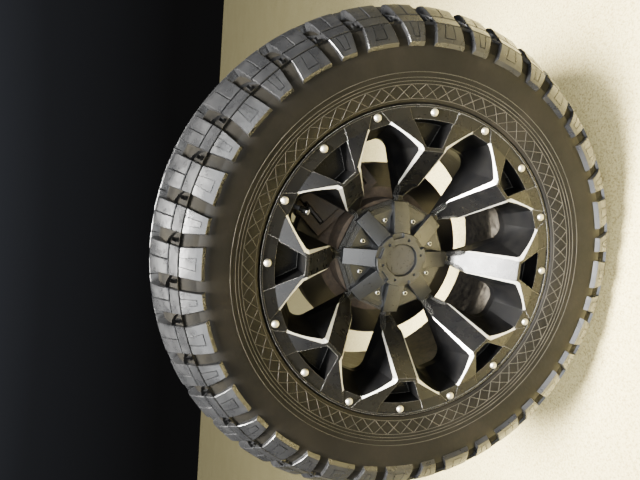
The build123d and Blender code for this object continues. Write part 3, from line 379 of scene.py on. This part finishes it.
# Tread blocks: depths of the two ends, slant, half width, and place round the tyre in pitches
TREAD_BLOCKS = ((70, 99, 5, 27, 0.5), (106, 126.4, -6, 26, 0.15))
TREAD_HALVES = ((-1, -0.04), (0.04, 1))
TREAD_CHAMFER = 1.0


def tread_blocks(shape, angle, side):
    """The siped block next to the shoulder lug, and half of the tread's middle."""
    for near, far, skew, width, shift in TREAD_BLOCKS:
        middle = angle + shift * TREAD_PITCH
        for low, high in TREAD_HALVES:
            stations = []
            for part in (0, 0.5, 1):
                s = lug_skin.across(near + (far - near) * part)
                slide = skew * (part - 0.5)
                stations.append((s, low * width + slide, high * width + slide))
            block(shape, plain_rows(stations), middle, side, chamfer=TREAD_CHAMFER)


# Fine raised lines on the tyre's side
RIBS = 72
RIB_ENDS = (282, 304)
RIB_STEPS = 4
RIB_WIDTH = 1.5
SIDE_RINGS = (*RIB_ENDS, 309, 314, 322)
SIDE_RING_SIDES = 160
SIDE_RING_WIDTH = 1.3
LINE_HEIGHT = 0.7
LINE_SINK = -0.3


def ridge(shape, start, end, side):
    """A fine raised line on the tyre's side between two (radius, angle) places."""
    rows = []
    along = Vector((end[0] - start[0], (end[1] - start[1]) * (start[0] + end[0]) / 2)).normalized()
    for n in range(RIB_STEPS + 1):
        radius = start[0] + (end[0] - start[0]) * n / RIB_STEPS
        angle = start[1] + (end[1] - start[1]) * n / RIB_STEPS
        s = body_skin.reach(radius)
        row = []
        for across, lift in ((-0.5, LINE_SINK), (-0.25, LINE_HEIGHT), (0.25, LINE_HEIGHT), (0.5, LINE_SINK)):
            step = across * RIB_WIDTH
            place = tyre_point(body_skin, s - along.y * step, lift, along.x * step, angle, side)
            row.append(shape.point(place))
        rows.append(row)
    for a, b in zip(rows, rows[1:]):
        shape.band(a, b, RIB_SLOT, closed=False)


def raised_ring(shape, radius, side):
    """A fine raised line all the way round the tyre's side."""
    s = body_skin.reach(radius)
    rings = []
    for across, lift in ((-0.5, LINE_SINK), (-0.3, LINE_HEIGHT), (0.3, LINE_HEIGHT), (0.5, LINE_SINK)):
        ring = []
        for n in range(SIDE_RING_SIDES):
            angle = 2 * pi * n / SIDE_RING_SIDES
            place = tyre_point(body_skin, s + across * SIDE_RING_WIDTH, lift, 0, angle, side)
            ring.append(shape.point(place))
        rings.append(ring)
    for a, b in zip(rings, rings[1:]):
        shape.band(a, b, RIB_SLOT)


def tyre_body(shape):
    """The tyre's carcass without its lugs: the two sides and the grooves' floor."""
    rings = []
    for spot in body_skin.points:
        places = [wheel_point(spot.x, spot.y, 2 * pi * n / TYRE_SIDES) for n in range(TYRE_SIDES)]
        rings.append([shape.point(place) for place in places])
    for spot, first, second in zip(body_skin.points, rings, rings[1:]):
        shape.band(first, second, GROOVE_SLOT if spot.x > GROOVE_START else SIDE_SLOT)
    shape.band(rings[-1], rings[0])


def tyre_tread(shape, side, turn):
    """One half of the tread, with its lugs."""
    for n in range(LUG_PAIRS):
        wide = turn + 2 * pi * n / LUG_PAIRS
        narrow = wide + TREAD_PITCH
        lug(shape, wide, side, WIDE_LUG)
        lug(shape, narrow, side, NARROW_LUG)
        for middle in (wide, narrow):
            ejector(shape, middle + TREAD_PITCH / 2, side)
            tread_blocks(shape, middle, side)


def side_lines(shape, side, turn):
    """The band of crossed ribs and the rings of one side."""
    inner, outer = RIB_ENDS
    for n in range(RIBS):
        angle = turn + 2 * pi * n / RIBS
        lean = 2 * pi / RIBS
        ridge(shape, (inner, angle), (outer, angle + lean), side)
        ridge(shape, (inner, angle + lean), (outer, angle), side)
    for radius in SIDE_RINGS:
        raised_ring(shape, radius, side)


def make_tyre(*rubbers):
    """The tyre; its rubbers are those of the side, the ribs, the lugs and the grooves."""
    shape = Shape()
    tyre_body(shape)
    for side, turn in ((1, 0.0), (-1, TREAD_PITCH / 2)):
        tyre_tread(shape, side, turn)
        side_lines(shape, side, turn)
    tyre = shape.object("tyre_rubber", rubbers, sharp=30)
    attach(tyre, "wheel")
    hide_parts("tyre")


# ---- Small fasteners ----

LIP_STUDS = 16
STUD_CIRCLE = 261.9
STUD_SECTION = [
    (0, -3.5), (2.5, -3.35), (4.6, -2.7), (6.0, -1.5), (6.6, 0.0), (6.75, 1.2), (4.0, 1.2), (4.0, 9.2),
]
CAP_SCREWS = 8
SCREW_CIRCLE = 75.0
SCREW_TOP = 86.0
SCREW_END = 106.0
SCREW_SHANK = 2.5
SCREW_HEAD = [(5.0, 3.0), (5.0, 1.9), (4.7, 1.0), (4.0, 0.35), (3.1, 0.0)]
SOCKET_CORNER = 2.6
SOCKET_DEPTH = 2.2
SMALL_SIDES = 24


def at_spot(circle, angle):
    """Places points of a small turned part whose own axis is parallel to the axle."""
    def place(radius, depth, turn):
        middle = wheel_point(circle, depth, angle)
        return middle + Vector((radius * sin(turn), 0, radius * cos(turn))) * MM
    return place


def make_studs(steel):
    """Domed heads with a short shank, round the lip."""
    shape = Shape()
    for n in range(LIP_STUDS):
        shape.turned(STUD_SECTION, at_spot(STUD_CIRCLE, 2 * pi * n / LIP_STUDS), SMALL_SIDES)
    studs = shape.object("lip_stud_heads", [steel])
    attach(studs, "wheel")
    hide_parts("lip_studs")


def hexagon(angle):
    """How far a hexagon's side is from its middle, against its corner, at an angle."""
    return cos(pi / 6) / cos((angle % (pi / 3)) - pi / 6)


def make_screws(steel, dark):
    """Button heads with a six-sided socket, whose inside is painted near black as shade."""
    shape = Shape()
    head = [(radius, SCREW_TOP + depth) for radius, depth in SCREW_HEAD]
    section = [(SCREW_SHANK, SCREW_END), (SCREW_SHANK, head[0][1])] + head
    for n in range(CAP_SCREWS):
        place = at_spot(SCREW_CIRCLE, pi / CAP_SCREWS * (2 * n + 1))
        rings = shape.turned(section, place, SMALL_SIDES)
        sockets = []
        for depth in (SCREW_TOP, SCREW_TOP + SOCKET_DEPTH):
            ring = []
            for k in range(SMALL_SIDES):
                turn = 2 * pi * k / SMALL_SIDES
                ring.append(shape.point(place(SOCKET_CORNER * hexagon(turn), depth, turn)))
            sockets.append(ring)
        shape.band(rings[-1], sockets[0])
        # The socket's walls and floor take the near-black second material as painted shade
        shape.band(sockets[0], sockets[1], slot=1)
        shape.face(tuple(sockets[1]), 1)
    screws = shape.object("cap_screw_heads", [steel, dark])
    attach(screws, "wheel")
    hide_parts("cap_screws")


# ---- Materials ----

class Finish:
    """A procedural material under construction."""

    def __init__(self, name, **sockets):
        self.material = bpy.data.materials.new(name)
        self.material.use_nodes = True
        self.tree = self.material.node_tree
        self.shader = self.tree.nodes["Principled BSDF"]
        for socket, value in sockets.items():
            self.shader.inputs[socket.replace("_", " ")].default_value = value

    def node(self, kind, settings=None, **inputs):
        made = self.tree.nodes.new(kind)
        for name, value in (settings or {}).items():
            setattr(made, name, value)
        for name, value in inputs.items():
            socket = made.inputs[int(name[1:])] if name[0] == "_" else made.inputs[name.replace("_", " ")]
            if isinstance(value, bpy.types.NodeSocket):
                self.tree.links.new(value, socket)
            else:
                socket.default_value = value
        return made

    def place(self):
        return self.node("ShaderNodeTexCoord").outputs["Object"]

    def noise(self, scale, detail=4.0, rough=0.55, vector=None, distortion=0.0):
        made = self.node(
            "ShaderNodeTexNoise", Vector=vector or self.place(),
            Scale=scale, Detail=detail, Roughness=rough, Distortion=distortion,
        )
        return made.outputs["Fac"]

    def math(self, operation, first, second=0.0, third=0.0):
        made = self.node("ShaderNodeMath", {"operation": operation}, _0=first, _1=second, _2=third)
        return made.outputs[0]

    def ramp(self, value, *stops):
        """A colour ramp of (position, colour) stops; a number stands for a grey."""
        made = self.node("ShaderNodeValToRGB", Fac=value)
        elements = made.color_ramp.elements
        while len(elements) < len(stops):
            elements.new(1.0)
        for element, (position, colour) in zip(elements, stops):
            element.position = position
            element.color = (*colour, 1) if isinstance(colour, tuple) else (colour, colour, colour, 1)
        return made.outputs["Color"]

    def mix(self, factor, first, second, blend="MIX"):
        made = self.node("ShaderNodeMix", {"data_type": "RGBA", "blend_type": blend})
        for name, value in (("Factor", factor), ("A", first), ("B", second)):
            socket = next(s for s in made.inputs if s.name == name and s.enabled)
            if isinstance(value, bpy.types.NodeSocket):
                self.tree.links.new(value, socket)
            else:
                socket.default_value = (*value, 1) if isinstance(value, tuple) else value
        return next(s for s in made.outputs if s.enabled)

    def radius(self):
        """Distance from the axle, in metres."""
        parts = self.node("ShaderNodeSeparateXYZ", Vector=self.place())
        up = self.math("SUBTRACT", parts.outputs["Z"], AXLE.z)
        squares = self.math("ADD", self.math("POWER", parts.outputs["X"], 2.0), self.math("POWER", up, 2.0))
        return self.math("SQRT", squares)

    def link(self, socket, value):
        self.tree.links.new(value, self.shader.inputs[socket])

    def bump(self, height, distance, strength, normal=None):
        made = self.node("ShaderNodeBump", Height=height, Distance=distance, Strength=strength)
        if normal:
            self.tree.links.new(normal, made.inputs["Normal"])
        self.link("Normal", made.outputs["Normal"])

    def soft_edges(self, radius):
        """Normals that round off sharp edges by a small radius."""
        return self.node("ShaderNodeBevel", {"samples": 6}, Radius=radius).outputs["Normal"]

    def painted_edge_highlight(self, rounded):
        """One along sharp edges and nought on flats, from normals that round the edges off."""
        flat = self.node("ShaderNodeNewGeometry").outputs["Normal"]
        same = self.node("ShaderNodeVectorMath", {"operation": "DOT_PRODUCT"}, _0=rounded, _1=flat)
        return self.ramp(same.outputs["Value"], (0.80, 1.0), (0.97, 0.0))


def rubber_finish():
    """The smooth side of the tyre, under a film of brown dust."""
    made = Finish("tyre_side", Specular_IOR_Level=0.12)
    dust = made.noise(9.0, 6.0, 0.65)
    fine = made.noise(160.0, 4.0)
    side = made.ramp(
        dust,
        (0.3, (0.0030, 0.0027, 0.0021)), (0.55, (0.0055, 0.0048, 0.0035)), (0.8, (0.011, 0.0090, 0.0063)),
    )
    made.link("Base Color", made.mix(0.35, side, made.ramp(fine, (0.3, 0.35), (0.7, 0.75)), "OVERLAY"))
    made.link("Roughness", made.math("MULTIPLY_ADD", made.noise(35.0), 0.2, 0.32))
    made.bump(made.math("ADD", fine, made.noise(30.0)), 0.0004, 0.5)
    return made.material


def lug_finish():
    """The lugs and tread blocks: blacker and shinier rubber, scuffed to grey in places."""
    made = Finish("tyre_lugs", Specular_IOR_Level=0.5)
    scuffs = made.noise(14.0, 6.0, 0.65)
    fine = made.noise(190.0, 4.0)
    tone = made.ramp(
        scuffs,
        (0.35, (0.0040, 0.0041, 0.0044)), (0.65, (0.0085, 0.0085, 0.0088)), (0.8, (0.016, 0.016, 0.016)),
    )
    made.link("Base Color", made.mix(0.3, tone, made.ramp(fine, (0.3, 0.35), (0.7, 0.75)), "OVERLAY"))
    made.link("Roughness", made.ramp(made.noise(45.0, 5.0), (0.3, 0.2), (0.7, 0.42)))
    made.bump(made.math("ADD", fine, made.noise(55.0)), 0.0005, 0.5)
    return made.material


def shaded_groove_finish():
    """The floor of the grooves between the lugs, matt and dusty, in a darker tone than the lugs as painted
    shade between them.
    """
    made = Finish("tyre_grooves_shaded", Specular_IOR_Level=0.05)
    dust = made.noise(30.0, 6.0, 0.65)
    # Painted shade: the grooves' rubber is darker than the lugs' to stand for the shade between the lugs
    tone = made.ramp(dust, (0.35, (0.0030, 0.0028, 0.0024)), (0.7, (0.0085, 0.0075, 0.0055)))
    made.link("Base Color", tone)
    made.link("Roughness", made.ramp(dust, (0.3, 0.6), (0.7, 0.85)))
    made.bump(made.noise(120.0), 0.0005, 0.5)
    return made.material


def ribbed_finish():
    """The fine raised lines of the tyre's side, a little paler than the rubber round them."""
    made = Finish("tyre_ribs", Roughness=0.45, Specular_IOR_Level=0.2)
    tone = made.ramp(made.noise(30.0), (0.3, (0.016, 0.0145, 0.011)), (0.7, (0.034, 0.030, 0.023)))
    made.link("Base Color", tone)
    made.bump(made.noise(160.0), 0.0002, 0.4)
    return made.material


def face_finish():
    """Satin black paint, with a painted highlight that turns it pale grey along its edges."""
    made = Finish("face_paint", Specular_IOR_Level=0.18, Coat_Weight=0.08, Coat_Roughness=0.12)
    grime = made.noise(26.0, 5.0, 0.6)
    paint = made.ramp(grime, (0.35, (0.0022, 0.0022, 0.0024)), (0.75, (0.0050, 0.0047, 0.0042)))
    rounded = made.soft_edges(0.0012)
    # Painted highlight: pale grey is mixed into the paint along sharp edges, where rounded edges would catch
    # the light
    made.link("Base Color", made.mix(made.painted_edge_highlight(rounded), paint, (0.16, 0.155, 0.14)))
    made.link("Roughness", made.ramp(made.noise(60.0), (0.3, 0.24), (0.7, 0.34)))
    made.bump(made.noise(420.0, 2.0), 0.00006, 0.4, rounded)
    return made.material


def shaded_wall_finish():
    """The same paint inside the windows, less polished, and blacker as painted shade inside them."""
    made = Finish("wall_paint_shaded", Specular_IOR_Level=0.05)
    # Painted shade: a blacker tone of the face paint for the windows' walls
    tone = made.ramp(made.noise(40.0, 5.0), (0.35, (0.0016, 0.0016, 0.0018)), (0.75, (0.004, 0.0038, 0.0035)))
    made.link("Base Color", tone)
    made.link("Roughness", made.ramp(made.noise(60.0), (0.3, 0.42), (0.7, 0.58)))
    made.bump(made.noise(420.0, 2.0), 0.00006, 0.4, made.soft_edges(0.0009))
    return made.material


def milled_finish():
    """Bare milled alloy with the cutter's fine streaks."""
    made = Finish("milled_alloy", Metallic=0.7, Roughness=0.4)
    stretched = made.node("ShaderNodeMapping", Vector=made.place(), Scale=(1.0, 0.15, 1.0))
    streaks = made.noise(900.0, 2.0, 0.5, stretched.outputs["Vector"])
    made.link("Base Color", made.ramp(streaks, (0.3, (0.82, 0.79, 0.70)), (0.7, (0.97, 0.94, 0.85))))
    made.bump(streaks, 0.00005, 0.5)
    return made.material


def barrel_finish():
    """Dark paint under mottled brake dust."""
    made = Finish("barrel_paint", Specular_IOR_Level=0.3)
    spots = made.noise(90.0, 7.0, 0.7, distortion=0.3)
    broad = made.noise(11.0, 4.0)
    dust = made.ramp(
        spots, (0.38, (0.014, 0.012, 0.010)), (0.5, (0.046, 0.040, 0.031)), (0.68, (0.080, 0.070, 0.054)),
    )
    made.link("Base Color", made.mix(0.5, dust, made.ramp(broad, (0.3, 0.25), (0.7, 0.7)), "OVERLAY"))
    made.link("Roughness", made.ramp(spots, (0.35, 0.35), (0.65, 0.75)))
    made.bump(spots, 0.0003, 0.5)
    return made.material


def cap_finish():
    """Satin black with a fine grain."""
    made = Finish("cap_paint", Specular_IOR_Level=0.65, Coat_Weight=0.1, Coat_Roughness=0.2)
    brushed = made.noise(300.0, 3.0)
    tone = made.ramp(made.noise(40.0), (0.3, (0.006, 0.0064, 0.007)), (0.7, (0.011, 0.0115, 0.012)))
    made.link("Base Color", tone)
    made.link("Roughness", made.ramp(brushed, (0.3, 0.27), (0.7, 0.4)))
    made.bump(brushed, 0.00008, 0.5, made.soft_edges(0.0008))
    return made.material


def metal_finish(name, low, high, roughness, metallic=1.0, scale=60.0, depth=0.0001, edge=0.0):
    """Bare metal between two tones, with uneven roughness and a fine grain."""
    made = Finish(name, Metallic=metallic)
    tone = made.noise(scale, 5.0, 0.6)
    made.link("Base Color", made.ramp(tone, (0.3, low), (0.7, high)))
    made.link("Roughness", made.ramp(made.noise(scale * 2), (0.3, roughness - 0.06), (0.7, roughness + 0.1)))
    made.bump(made.noise(scale * 6), depth, 0.6, made.soft_edges(edge) if edge else None)
    return made.material


def rusty_finish(name, bare, rust, amount):
    """Cast or forged iron with rust coming through and dust in its grain."""
    made = Finish(name)
    patches = made.noise(28.0, 8.0, 0.7)
    pits = made.noise(240.0, 5.0, 0.6)
    rough_rust = made.ramp(pits, (0.3, tuple(0.5 * c for c in rust)), (0.7, rust))
    cover = made.ramp(patches, (0.62 - 0.35 * amount, 0.0), (0.78 - 0.35 * amount, 1.0))
    iron = made.ramp(pits, (0.2, tuple(0.6 * c for c in bare)), (0.8, bare))
    made.link("Base Color", made.mix(cover, iron, rough_rust))
    made.link("Roughness", made.ramp(pits, (0.3, 0.65), (0.7, 0.92)))
    made.bump(made.math("ADD", pits, patches), 0.0006, 0.7, made.soft_edges(0.0015))
    return made.material


RUBBED_INNER, RUBBED_OUTER = 0.1285, 0.1755


def disc_finish():
    """A brake disc: its rubbed faces finely scored round the axle, rust on the rest; the rubbed iron is near
    black as painted shade, the disc lying in the wheel's shadow.
    """
    made = Finish("disc_iron")
    radius = made.radius()
    scores = made.node("ShaderNodeTexNoise", {"noise_dimensions": "1D"}, Scale=2600.0, Detail=3.0, W=radius)
    beyond = made.math("GREATER_THAN", radius, RUBBED_INNER)
    within = made.math("LESS_THAN", radius, RUBBED_OUTER)
    rubbed = made.math("MULTIPLY", beyond, within)
    # Painted shade: the rubbed iron's tones are kept near black because the disc lies in the wheel's shadow
    rubbed_iron_shaded = made.ramp(scores.outputs["Fac"], (0.3, (0.030, 0.028, 0.026)), (0.7, (0.065, 0.062, 0.058)))
    rust = made.ramp(made.noise(70.0, 7.0, 0.7), (0.3, (0.035, 0.026, 0.018)), (0.7, (0.10, 0.072, 0.048)))
    made.link("Base Color", made.mix(rubbed, rust, rubbed_iron_shaded))
    made.link("Metallic", rubbed)
    rough = made.node("ShaderNodeMapRange", Value=rubbed, To_Min=0.85, To_Max=0.34)
    made.link("Roughness", rough.outputs["Result"])
    made.bump(scores.outputs["Fac"], 0.0001, 0.5)
    return made.material


def plain_finish(name, low, high, roughness):
    """Plastic or paint between two tones."""
    return metal_finish(name, low, high, roughness, metallic=0.0, scale=80.0, depth=0.0002, edge=0.0006)


def repaint(node, slot, chosen):
    """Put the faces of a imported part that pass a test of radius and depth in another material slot."""
    for polygon in frame["nodes"][node].data.polygons:
        middle = polygon.center
        radius, depth = hypot(middle.x, middle.z - AXLE.z) / MM, (middle.y - LIP_PLANE) / MM
        if chosen(radius, depth):
            polygon.material_index = slot


def dress(node, *materials):
    """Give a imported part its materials."""
    mesh = frame["nodes"][node].data
    mesh.materials.clear()
    for material in materials:
        mesh.materials.append(material)


# ---- Milled strips on the wheel's face: sizes as in its solid, about a window straight above the axle ----

SPOKES = 8
MOUTH_DEPTH, SLOT_DEPTH = -20.0, 64.0
MOUTH_TIP, SLOT_FLAT = Vector((22.0, 253.6)), Vector((9.5, 226.0))
MOUTH_KNEE, SLOT_SIDE = Vector((56.7, 196.5)), Vector((34.5, 201.0))
SLOT_CORNER, FORK_END, KNEE_FLAT = 25.0, 250.0, 6.5
KNEE_PROUD, KNEE_RADIUS, HUB_FACE, HUB_APOTHEM = 12.5, 198.0, 96.0, 116.8
# A strip's faces look within STRIP_MATCH of its normal, beyond STRIP_INNER from the axle and in front of
# STRIP_BACK
STRIP_MATCH, STRIP_INNER, STRIP_BACK = radians(4), 0.12, -0.195
WALL_NORMAL = -0.45
STRIP_SLOT, WALL_SLOT = 1, 2


def wall_point(mouth, slot, depth):
    """A point of a window's wall, which runs from its mouth in front to its slot behind."""
    part = (depth - MOUTH_DEPTH) / (SLOT_DEPTH - MOUTH_DEPTH)
    flat = mouth.lerp(slot, part)
    return Vector((flat.x, depth, flat.y))


def strip_normals():
    """Outward normals of the right-hand strips: along the fork, over the knee and down the spoke."""
    half_pitch = pi / SPOKES
    tip = wall_point(MOUTH_TIP, SLOT_FLAT, 0)
    corner = wall_point(MOUTH_KNEE, SLOT_SIDE, -KNEE_PROUD)
    draft = wall_point(MOUTH_KNEE, SLOT_SIDE, SLOT_DEPTH) - wall_point(MOUTH_KNEE, SLOT_SIDE, MOUTH_DEPTH)
    spoke_wall = Vector((0, 0, 1)).cross(Vector((draft.x, draft.y, 0))).normalized()
    fall = (HUB_FACE + KNEE_PROUD) / (KNEE_RADIUS - HUB_APOTHEM)
    spoke_face = Vector((-fall * sin(half_pitch), -1, -fall * cos(half_pitch))).normalized()
    round_off = SLOT_CORNER * (1 - cos(pi / 4))
    deep = Vector((SLOT_SIDE.x - round_off, SLOT_DEPTH, SLOT_FLAT.y - round_off))
    fork_wall = (deep - tip).cross(corner - tip).normalized()
    outward = Vector((tip.x + corner.x, 0, tip.z + corner.z)).normalized()
    rise = KNEE_PROUD / (FORK_END - KNEE_RADIUS - KNEE_FLAT)
    fork_face = (outward * rise - Vector((0, 1, 0))).normalized()
    knee_face = Vector((0, -1, 0))
    pairs = ((fork_face, fork_wall), (knee_face, spoke_wall), (spoke_face, spoke_wall))
    return [(face + wall).normalized() for face, wall in pairs]


def mark_walls(mesh):
    """Put the windows' walls and the wheel centre's back in the slot of the walls' paint, a copy of the face
    paint darkened as painted shade.
    """
    for polygon in mesh.polygons:
        if polygon.normal.y > WALL_NORMAL:
            polygon.material_index = WALL_SLOT


def mark_strips(mesh):
    """Put the milled strips of the wheel centre in the slot of the bare alloy."""
    normals = strip_normals()
    pitch = 2 * pi / SPOKES
    for polygon in mesh.polygons:
        middle = polygon.center
        radius, angle = hypot(middle.x, middle.z - AXLE.z), atan2(middle.x, middle.z - AXLE.z)
        turn = (round(angle / pitch - 0.5) + 0.5) * pitch
        normal = Matrix.Rotation(-turn, 3, "Y") @ polygon.normal
        normal.x = -abs(normal.x)
        alike = max(normal.dot(n) for n in normals) > cos(STRIP_MATCH)
        if alike and radius > STRIP_INNER and middle.y < STRIP_BACK:
            polygon.material_index = STRIP_SLOT


# ---- Stage, light and camera ----

FLOOR_HALF = 9.0


def make_floor():
    """Pale, slightly warm concrete with a visible grain."""
    made = Finish("floor_concrete", Roughness=0.85)
    fine = made.noise(230.0, 5.0, 0.75)
    made.link("Base Color", made.mix(
        0.35,
        made.ramp(fine, (0.38, (0.16, 0.11, 0.04)), (0.48, (0.48, 0.40, 0.17)), (0.62, (0.62, 0.54, 0.28))),
        made.ramp(made.noise(3.5, 5.0), (0.3, (0.44, 0.36, 0.15)), (0.7, (0.55, 0.47, 0.22))),
    ))
    made.bump(fine, 0.0012, 0.7)
    low = cad_box[0][2]
    corners = [(x * FLOOR_HALF, y * FLOOR_HALF, low) for x, y in ((-1, -1), (1, -1), (1, 1), (-1, 1))]
    mesh = bpy.data.meshes.new("floor")
    mesh.from_pydata(corners, [], [(0, 1, 2, 3)])
    mesh.materials.append(made.material)
    floor = bpy.data.objects.new("floor", mesh)
    bpy.context.scene.collection.objects.link(floor)


def make_light(name, place, target, size, power, colour, spread):
    """A soft rectangular lamp, aimed at a target."""
    data = bpy.data.lights.new(name, "AREA")
    data.shape = "RECTANGLE"
    data.size, data.size_y = size
    data.energy = power
    data.spread = radians(spread)
    data.color = colour
    lamp = bpy.data.objects.new(name, data)
    lamp.location = place
    lamp.rotation_euler = (Vector(target) - Vector(place)).to_track_quat("-Z", "Y").to_euler()
    bpy.context.scene.collection.objects.link(lamp)


# Colours of the room against the height and the depth of a direction, from -1 to 1 mapped onto 0 to 1
SKY_BY_HEIGHT = (
    (0.0, (0.05, 0.045, 0.04)), (0.5, (0.06, 0.056, 0.05)), (0.6, (0.15, 0.15, 0.15)),
    (0.75, (0.6, 0.62, 0.65)), (1.0, (1.0, 1.03, 1.1)),
)
SKY_BY_DEPTH = ((0.3, (1.0, 1.0, 1.0)), (0.62, (0.45, 0.46, 0.48)), (0.8, (0.10, 0.105, 0.12)))


def sky_shade(tree, direction, axis, stops):
    """The room's colour against one coordinate of a direction."""
    ramp = tree.nodes.new("ShaderNodeValToRGB")
    half = tree.nodes.new("ShaderNodeMath")
    half.operation = "MULTIPLY_ADD"
    half.inputs[1].default_value = 0.5
    half.inputs[2].default_value = 0.5
    tree.links.new(direction.outputs[axis], half.inputs[0])
    tree.links.new(half.outputs[0], ramp.inputs[0])
    elements = ramp.color_ramp.elements
    while len(elements) < len(stops):
        elements.new(1.0)
    for element, (position, colour) in zip(elements, stops):
        element.position = position
        element.color = (*colour, 1)
    return ramp.outputs[0]


def make_world():
    """A room that is pale overhead, dim at eye level and dark behind the wheel."""
    world = bpy.data.worlds.new("room")
    world.use_nodes = True
    tree = world.node_tree
    parts = tree.nodes.new("ShaderNodeSeparateXYZ")
    tree.links.new(tree.nodes.new("ShaderNodeTexCoord").outputs["Generated"], parts.inputs[0])
    both = tree.nodes.new("ShaderNodeVectorMath")
    both.operation = "MULTIPLY"
    tree.links.new(sky_shade(tree, parts, "Z", SKY_BY_HEIGHT), both.inputs[0])
    tree.links.new(sky_shade(tree, parts, "Y", SKY_BY_DEPTH), both.inputs[1])
    tree.links.new(both.outputs[0], tree.nodes["Background"].inputs["Color"])
    tree.nodes["Background"].inputs["Strength"].default_value = 1.0
    bpy.context.scene.world = world


CAMERA_PLACE = (0.157, -1.0555, 0.5473)
CAMERA_LOOK = Vector((-0.144, 0.9449, -0.2939))
CAMERA_UP = Vector((0.9858, 0.1629, 0.0409))
SENSOR_WIDTH = 36.0
FOCAL_LENGTH = 28.24


def make_camera():
    """A camera rolled on its side, as the truck lies on its side in the picture."""
    data = bpy.data.cameras.new("camera")
    data.sensor_width = SENSOR_WIDTH
    data.lens = FOCAL_LENGTH
    data.clip_start = 0.01
    camera = bpy.data.objects.new("camera", data)
    back = -CAMERA_LOOK.normalized()
    right = CAMERA_UP.cross(back).normalized()
    up = back.cross(right)
    turn = Matrix((right, up, back)).transposed().to_4x4()
    camera.matrix_world = Matrix.Translation(CAMERA_PLACE) @ turn
    bpy.context.scene.collection.objects.link(camera)
    bpy.context.scene.camera = camera


# Where the rim's face ends behind its lip, and where the valve's rubber stem starts
RIM_FACE_INNER, RIM_FACE_BACK, STEM_START = 255.0, 14.0, 28.6


def dress_wheel():
    """Make and finish what turns with the wheel."""
    fine = {"scale": 300.0, "depth": 0.00004}
    steel = metal_finish("stud_steel", (0.74, 0.69, 0.55), (0.93, 0.88, 0.73), 0.38, **fine)
    screw = metal_finish("screw_steel", (0.55, 0.54, 0.52), (0.8, 0.79, 0.77), 0.24, **fine)
    # Painted shade: the sockets, cut in the same steel as the heads, are near black
    socket = metal_finish("screw_socket_shaded", (0.02, 0.02, 0.02), (0.04, 0.04, 0.04), 0.5)
    make_tyre(rubber_finish(), ribbed_finish(), lug_finish(), shaded_groove_finish())
    make_studs(steel)
    make_screws(screw, socket)
    face = face_finish()
    dress("rim_barrel", barrel_finish(), face)
    repaint("rim_barrel", 1, lambda radius, depth: radius > RIM_FACE_INNER and depth < RIM_FACE_BACK)
    dress("wheel_centre", face, milled_finish(), shaded_wall_finish())
    mark_walls(frame["nodes"]["wheel_centre"].data)
    mark_strips(frame["nodes"]["wheel_centre"].data)
    dress("centre_cap", cap_finish())
    dress("cap_badge", plain_finish("badge_paint", (0.012, 0.012, 0.013), (0.02, 0.02, 0.021), 0.3))
    stem = plain_finish("valve_rubber", (0.015, 0.015, 0.015), (0.03, 0.03, 0.03), 0.55)
    dress("valve_stem", metal_finish("valve_metal", (0.75, 0.75, 0.73), (0.9, 0.9, 0.88), 0.18), stem)
    repaint("valve_stem", 1, lambda radius, depth: depth > STEM_START)
    dress("lug_nuts", metal_finish("nut_steel", (0.04, 0.04, 0.045), (0.1, 0.1, 0.1), 0.3, edge=0.0008))
    dress("hub_flange", rusty_finish("hub_steel", (0.055, 0.046, 0.036), (0.085, 0.052, 0.030), 0.5))
    dress("brake_disc", disc_finish())


def dress_knuckle():
    """Finish what stays still."""
    dress("knuckle", rusty_finish("knuckle_iron", (0.040, 0.036, 0.030), (0.085, 0.055, 0.032), 0.35))
    dress("hub_bearing", rusty_finish("bearing_steel", (0.14, 0.12, 0.10), (0.20, 0.11, 0.06), 0.6))
    zinc = metal_finish("bolt_steel", (0.30, 0.28, 0.24), (0.52, 0.49, 0.44), 0.42, scale=120.0)
    for node in ("bearing_bolts", "bracket_bolts", "caliper_pins"):
        dress(node, zinc)
    dress("dust_shield", plain_finish("shield_steel", (0.05, 0.045, 0.04), (0.10, 0.09, 0.075), 0.55))
    dress("caliper_bracket", rusty_finish("bracket_iron", (0.040, 0.031, 0.022), (0.075, 0.050, 0.030), 0.4))
    dress("caliper", rusty_finish("caliper_iron", (0.030, 0.024, 0.018), (0.060, 0.038, 0.022), 0.4))
    pad = rusty_finish("pad_lining", (0.07, 0.062, 0.055), (0.16, 0.10, 0.06), 0.3)
    for node in ("pad_outer", "pad_inner"):
        dress(node, pad)
    fitting = metal_finish("hose_steel", (0.36, 0.34, 0.28), (0.6, 0.57, 0.48), 0.4, edge=0.0006)
    dress("hose_fitting", fitting)


make_camera()
make_floor()
make_world()
make_light("front", (-0.4, -3.4, 2.2), (0, -0.3, 0.35), (5.5, 2.2), 290, (0.97, 0.99, 1.0), 140)
make_light("key", (-0.1, -1.0, 3.1), (0.0, -0.05, -0.3), (1.6, 1.0), 135, (1.0, 0.98, 0.93), 36)
dress_wheel()
dress_knuckle()
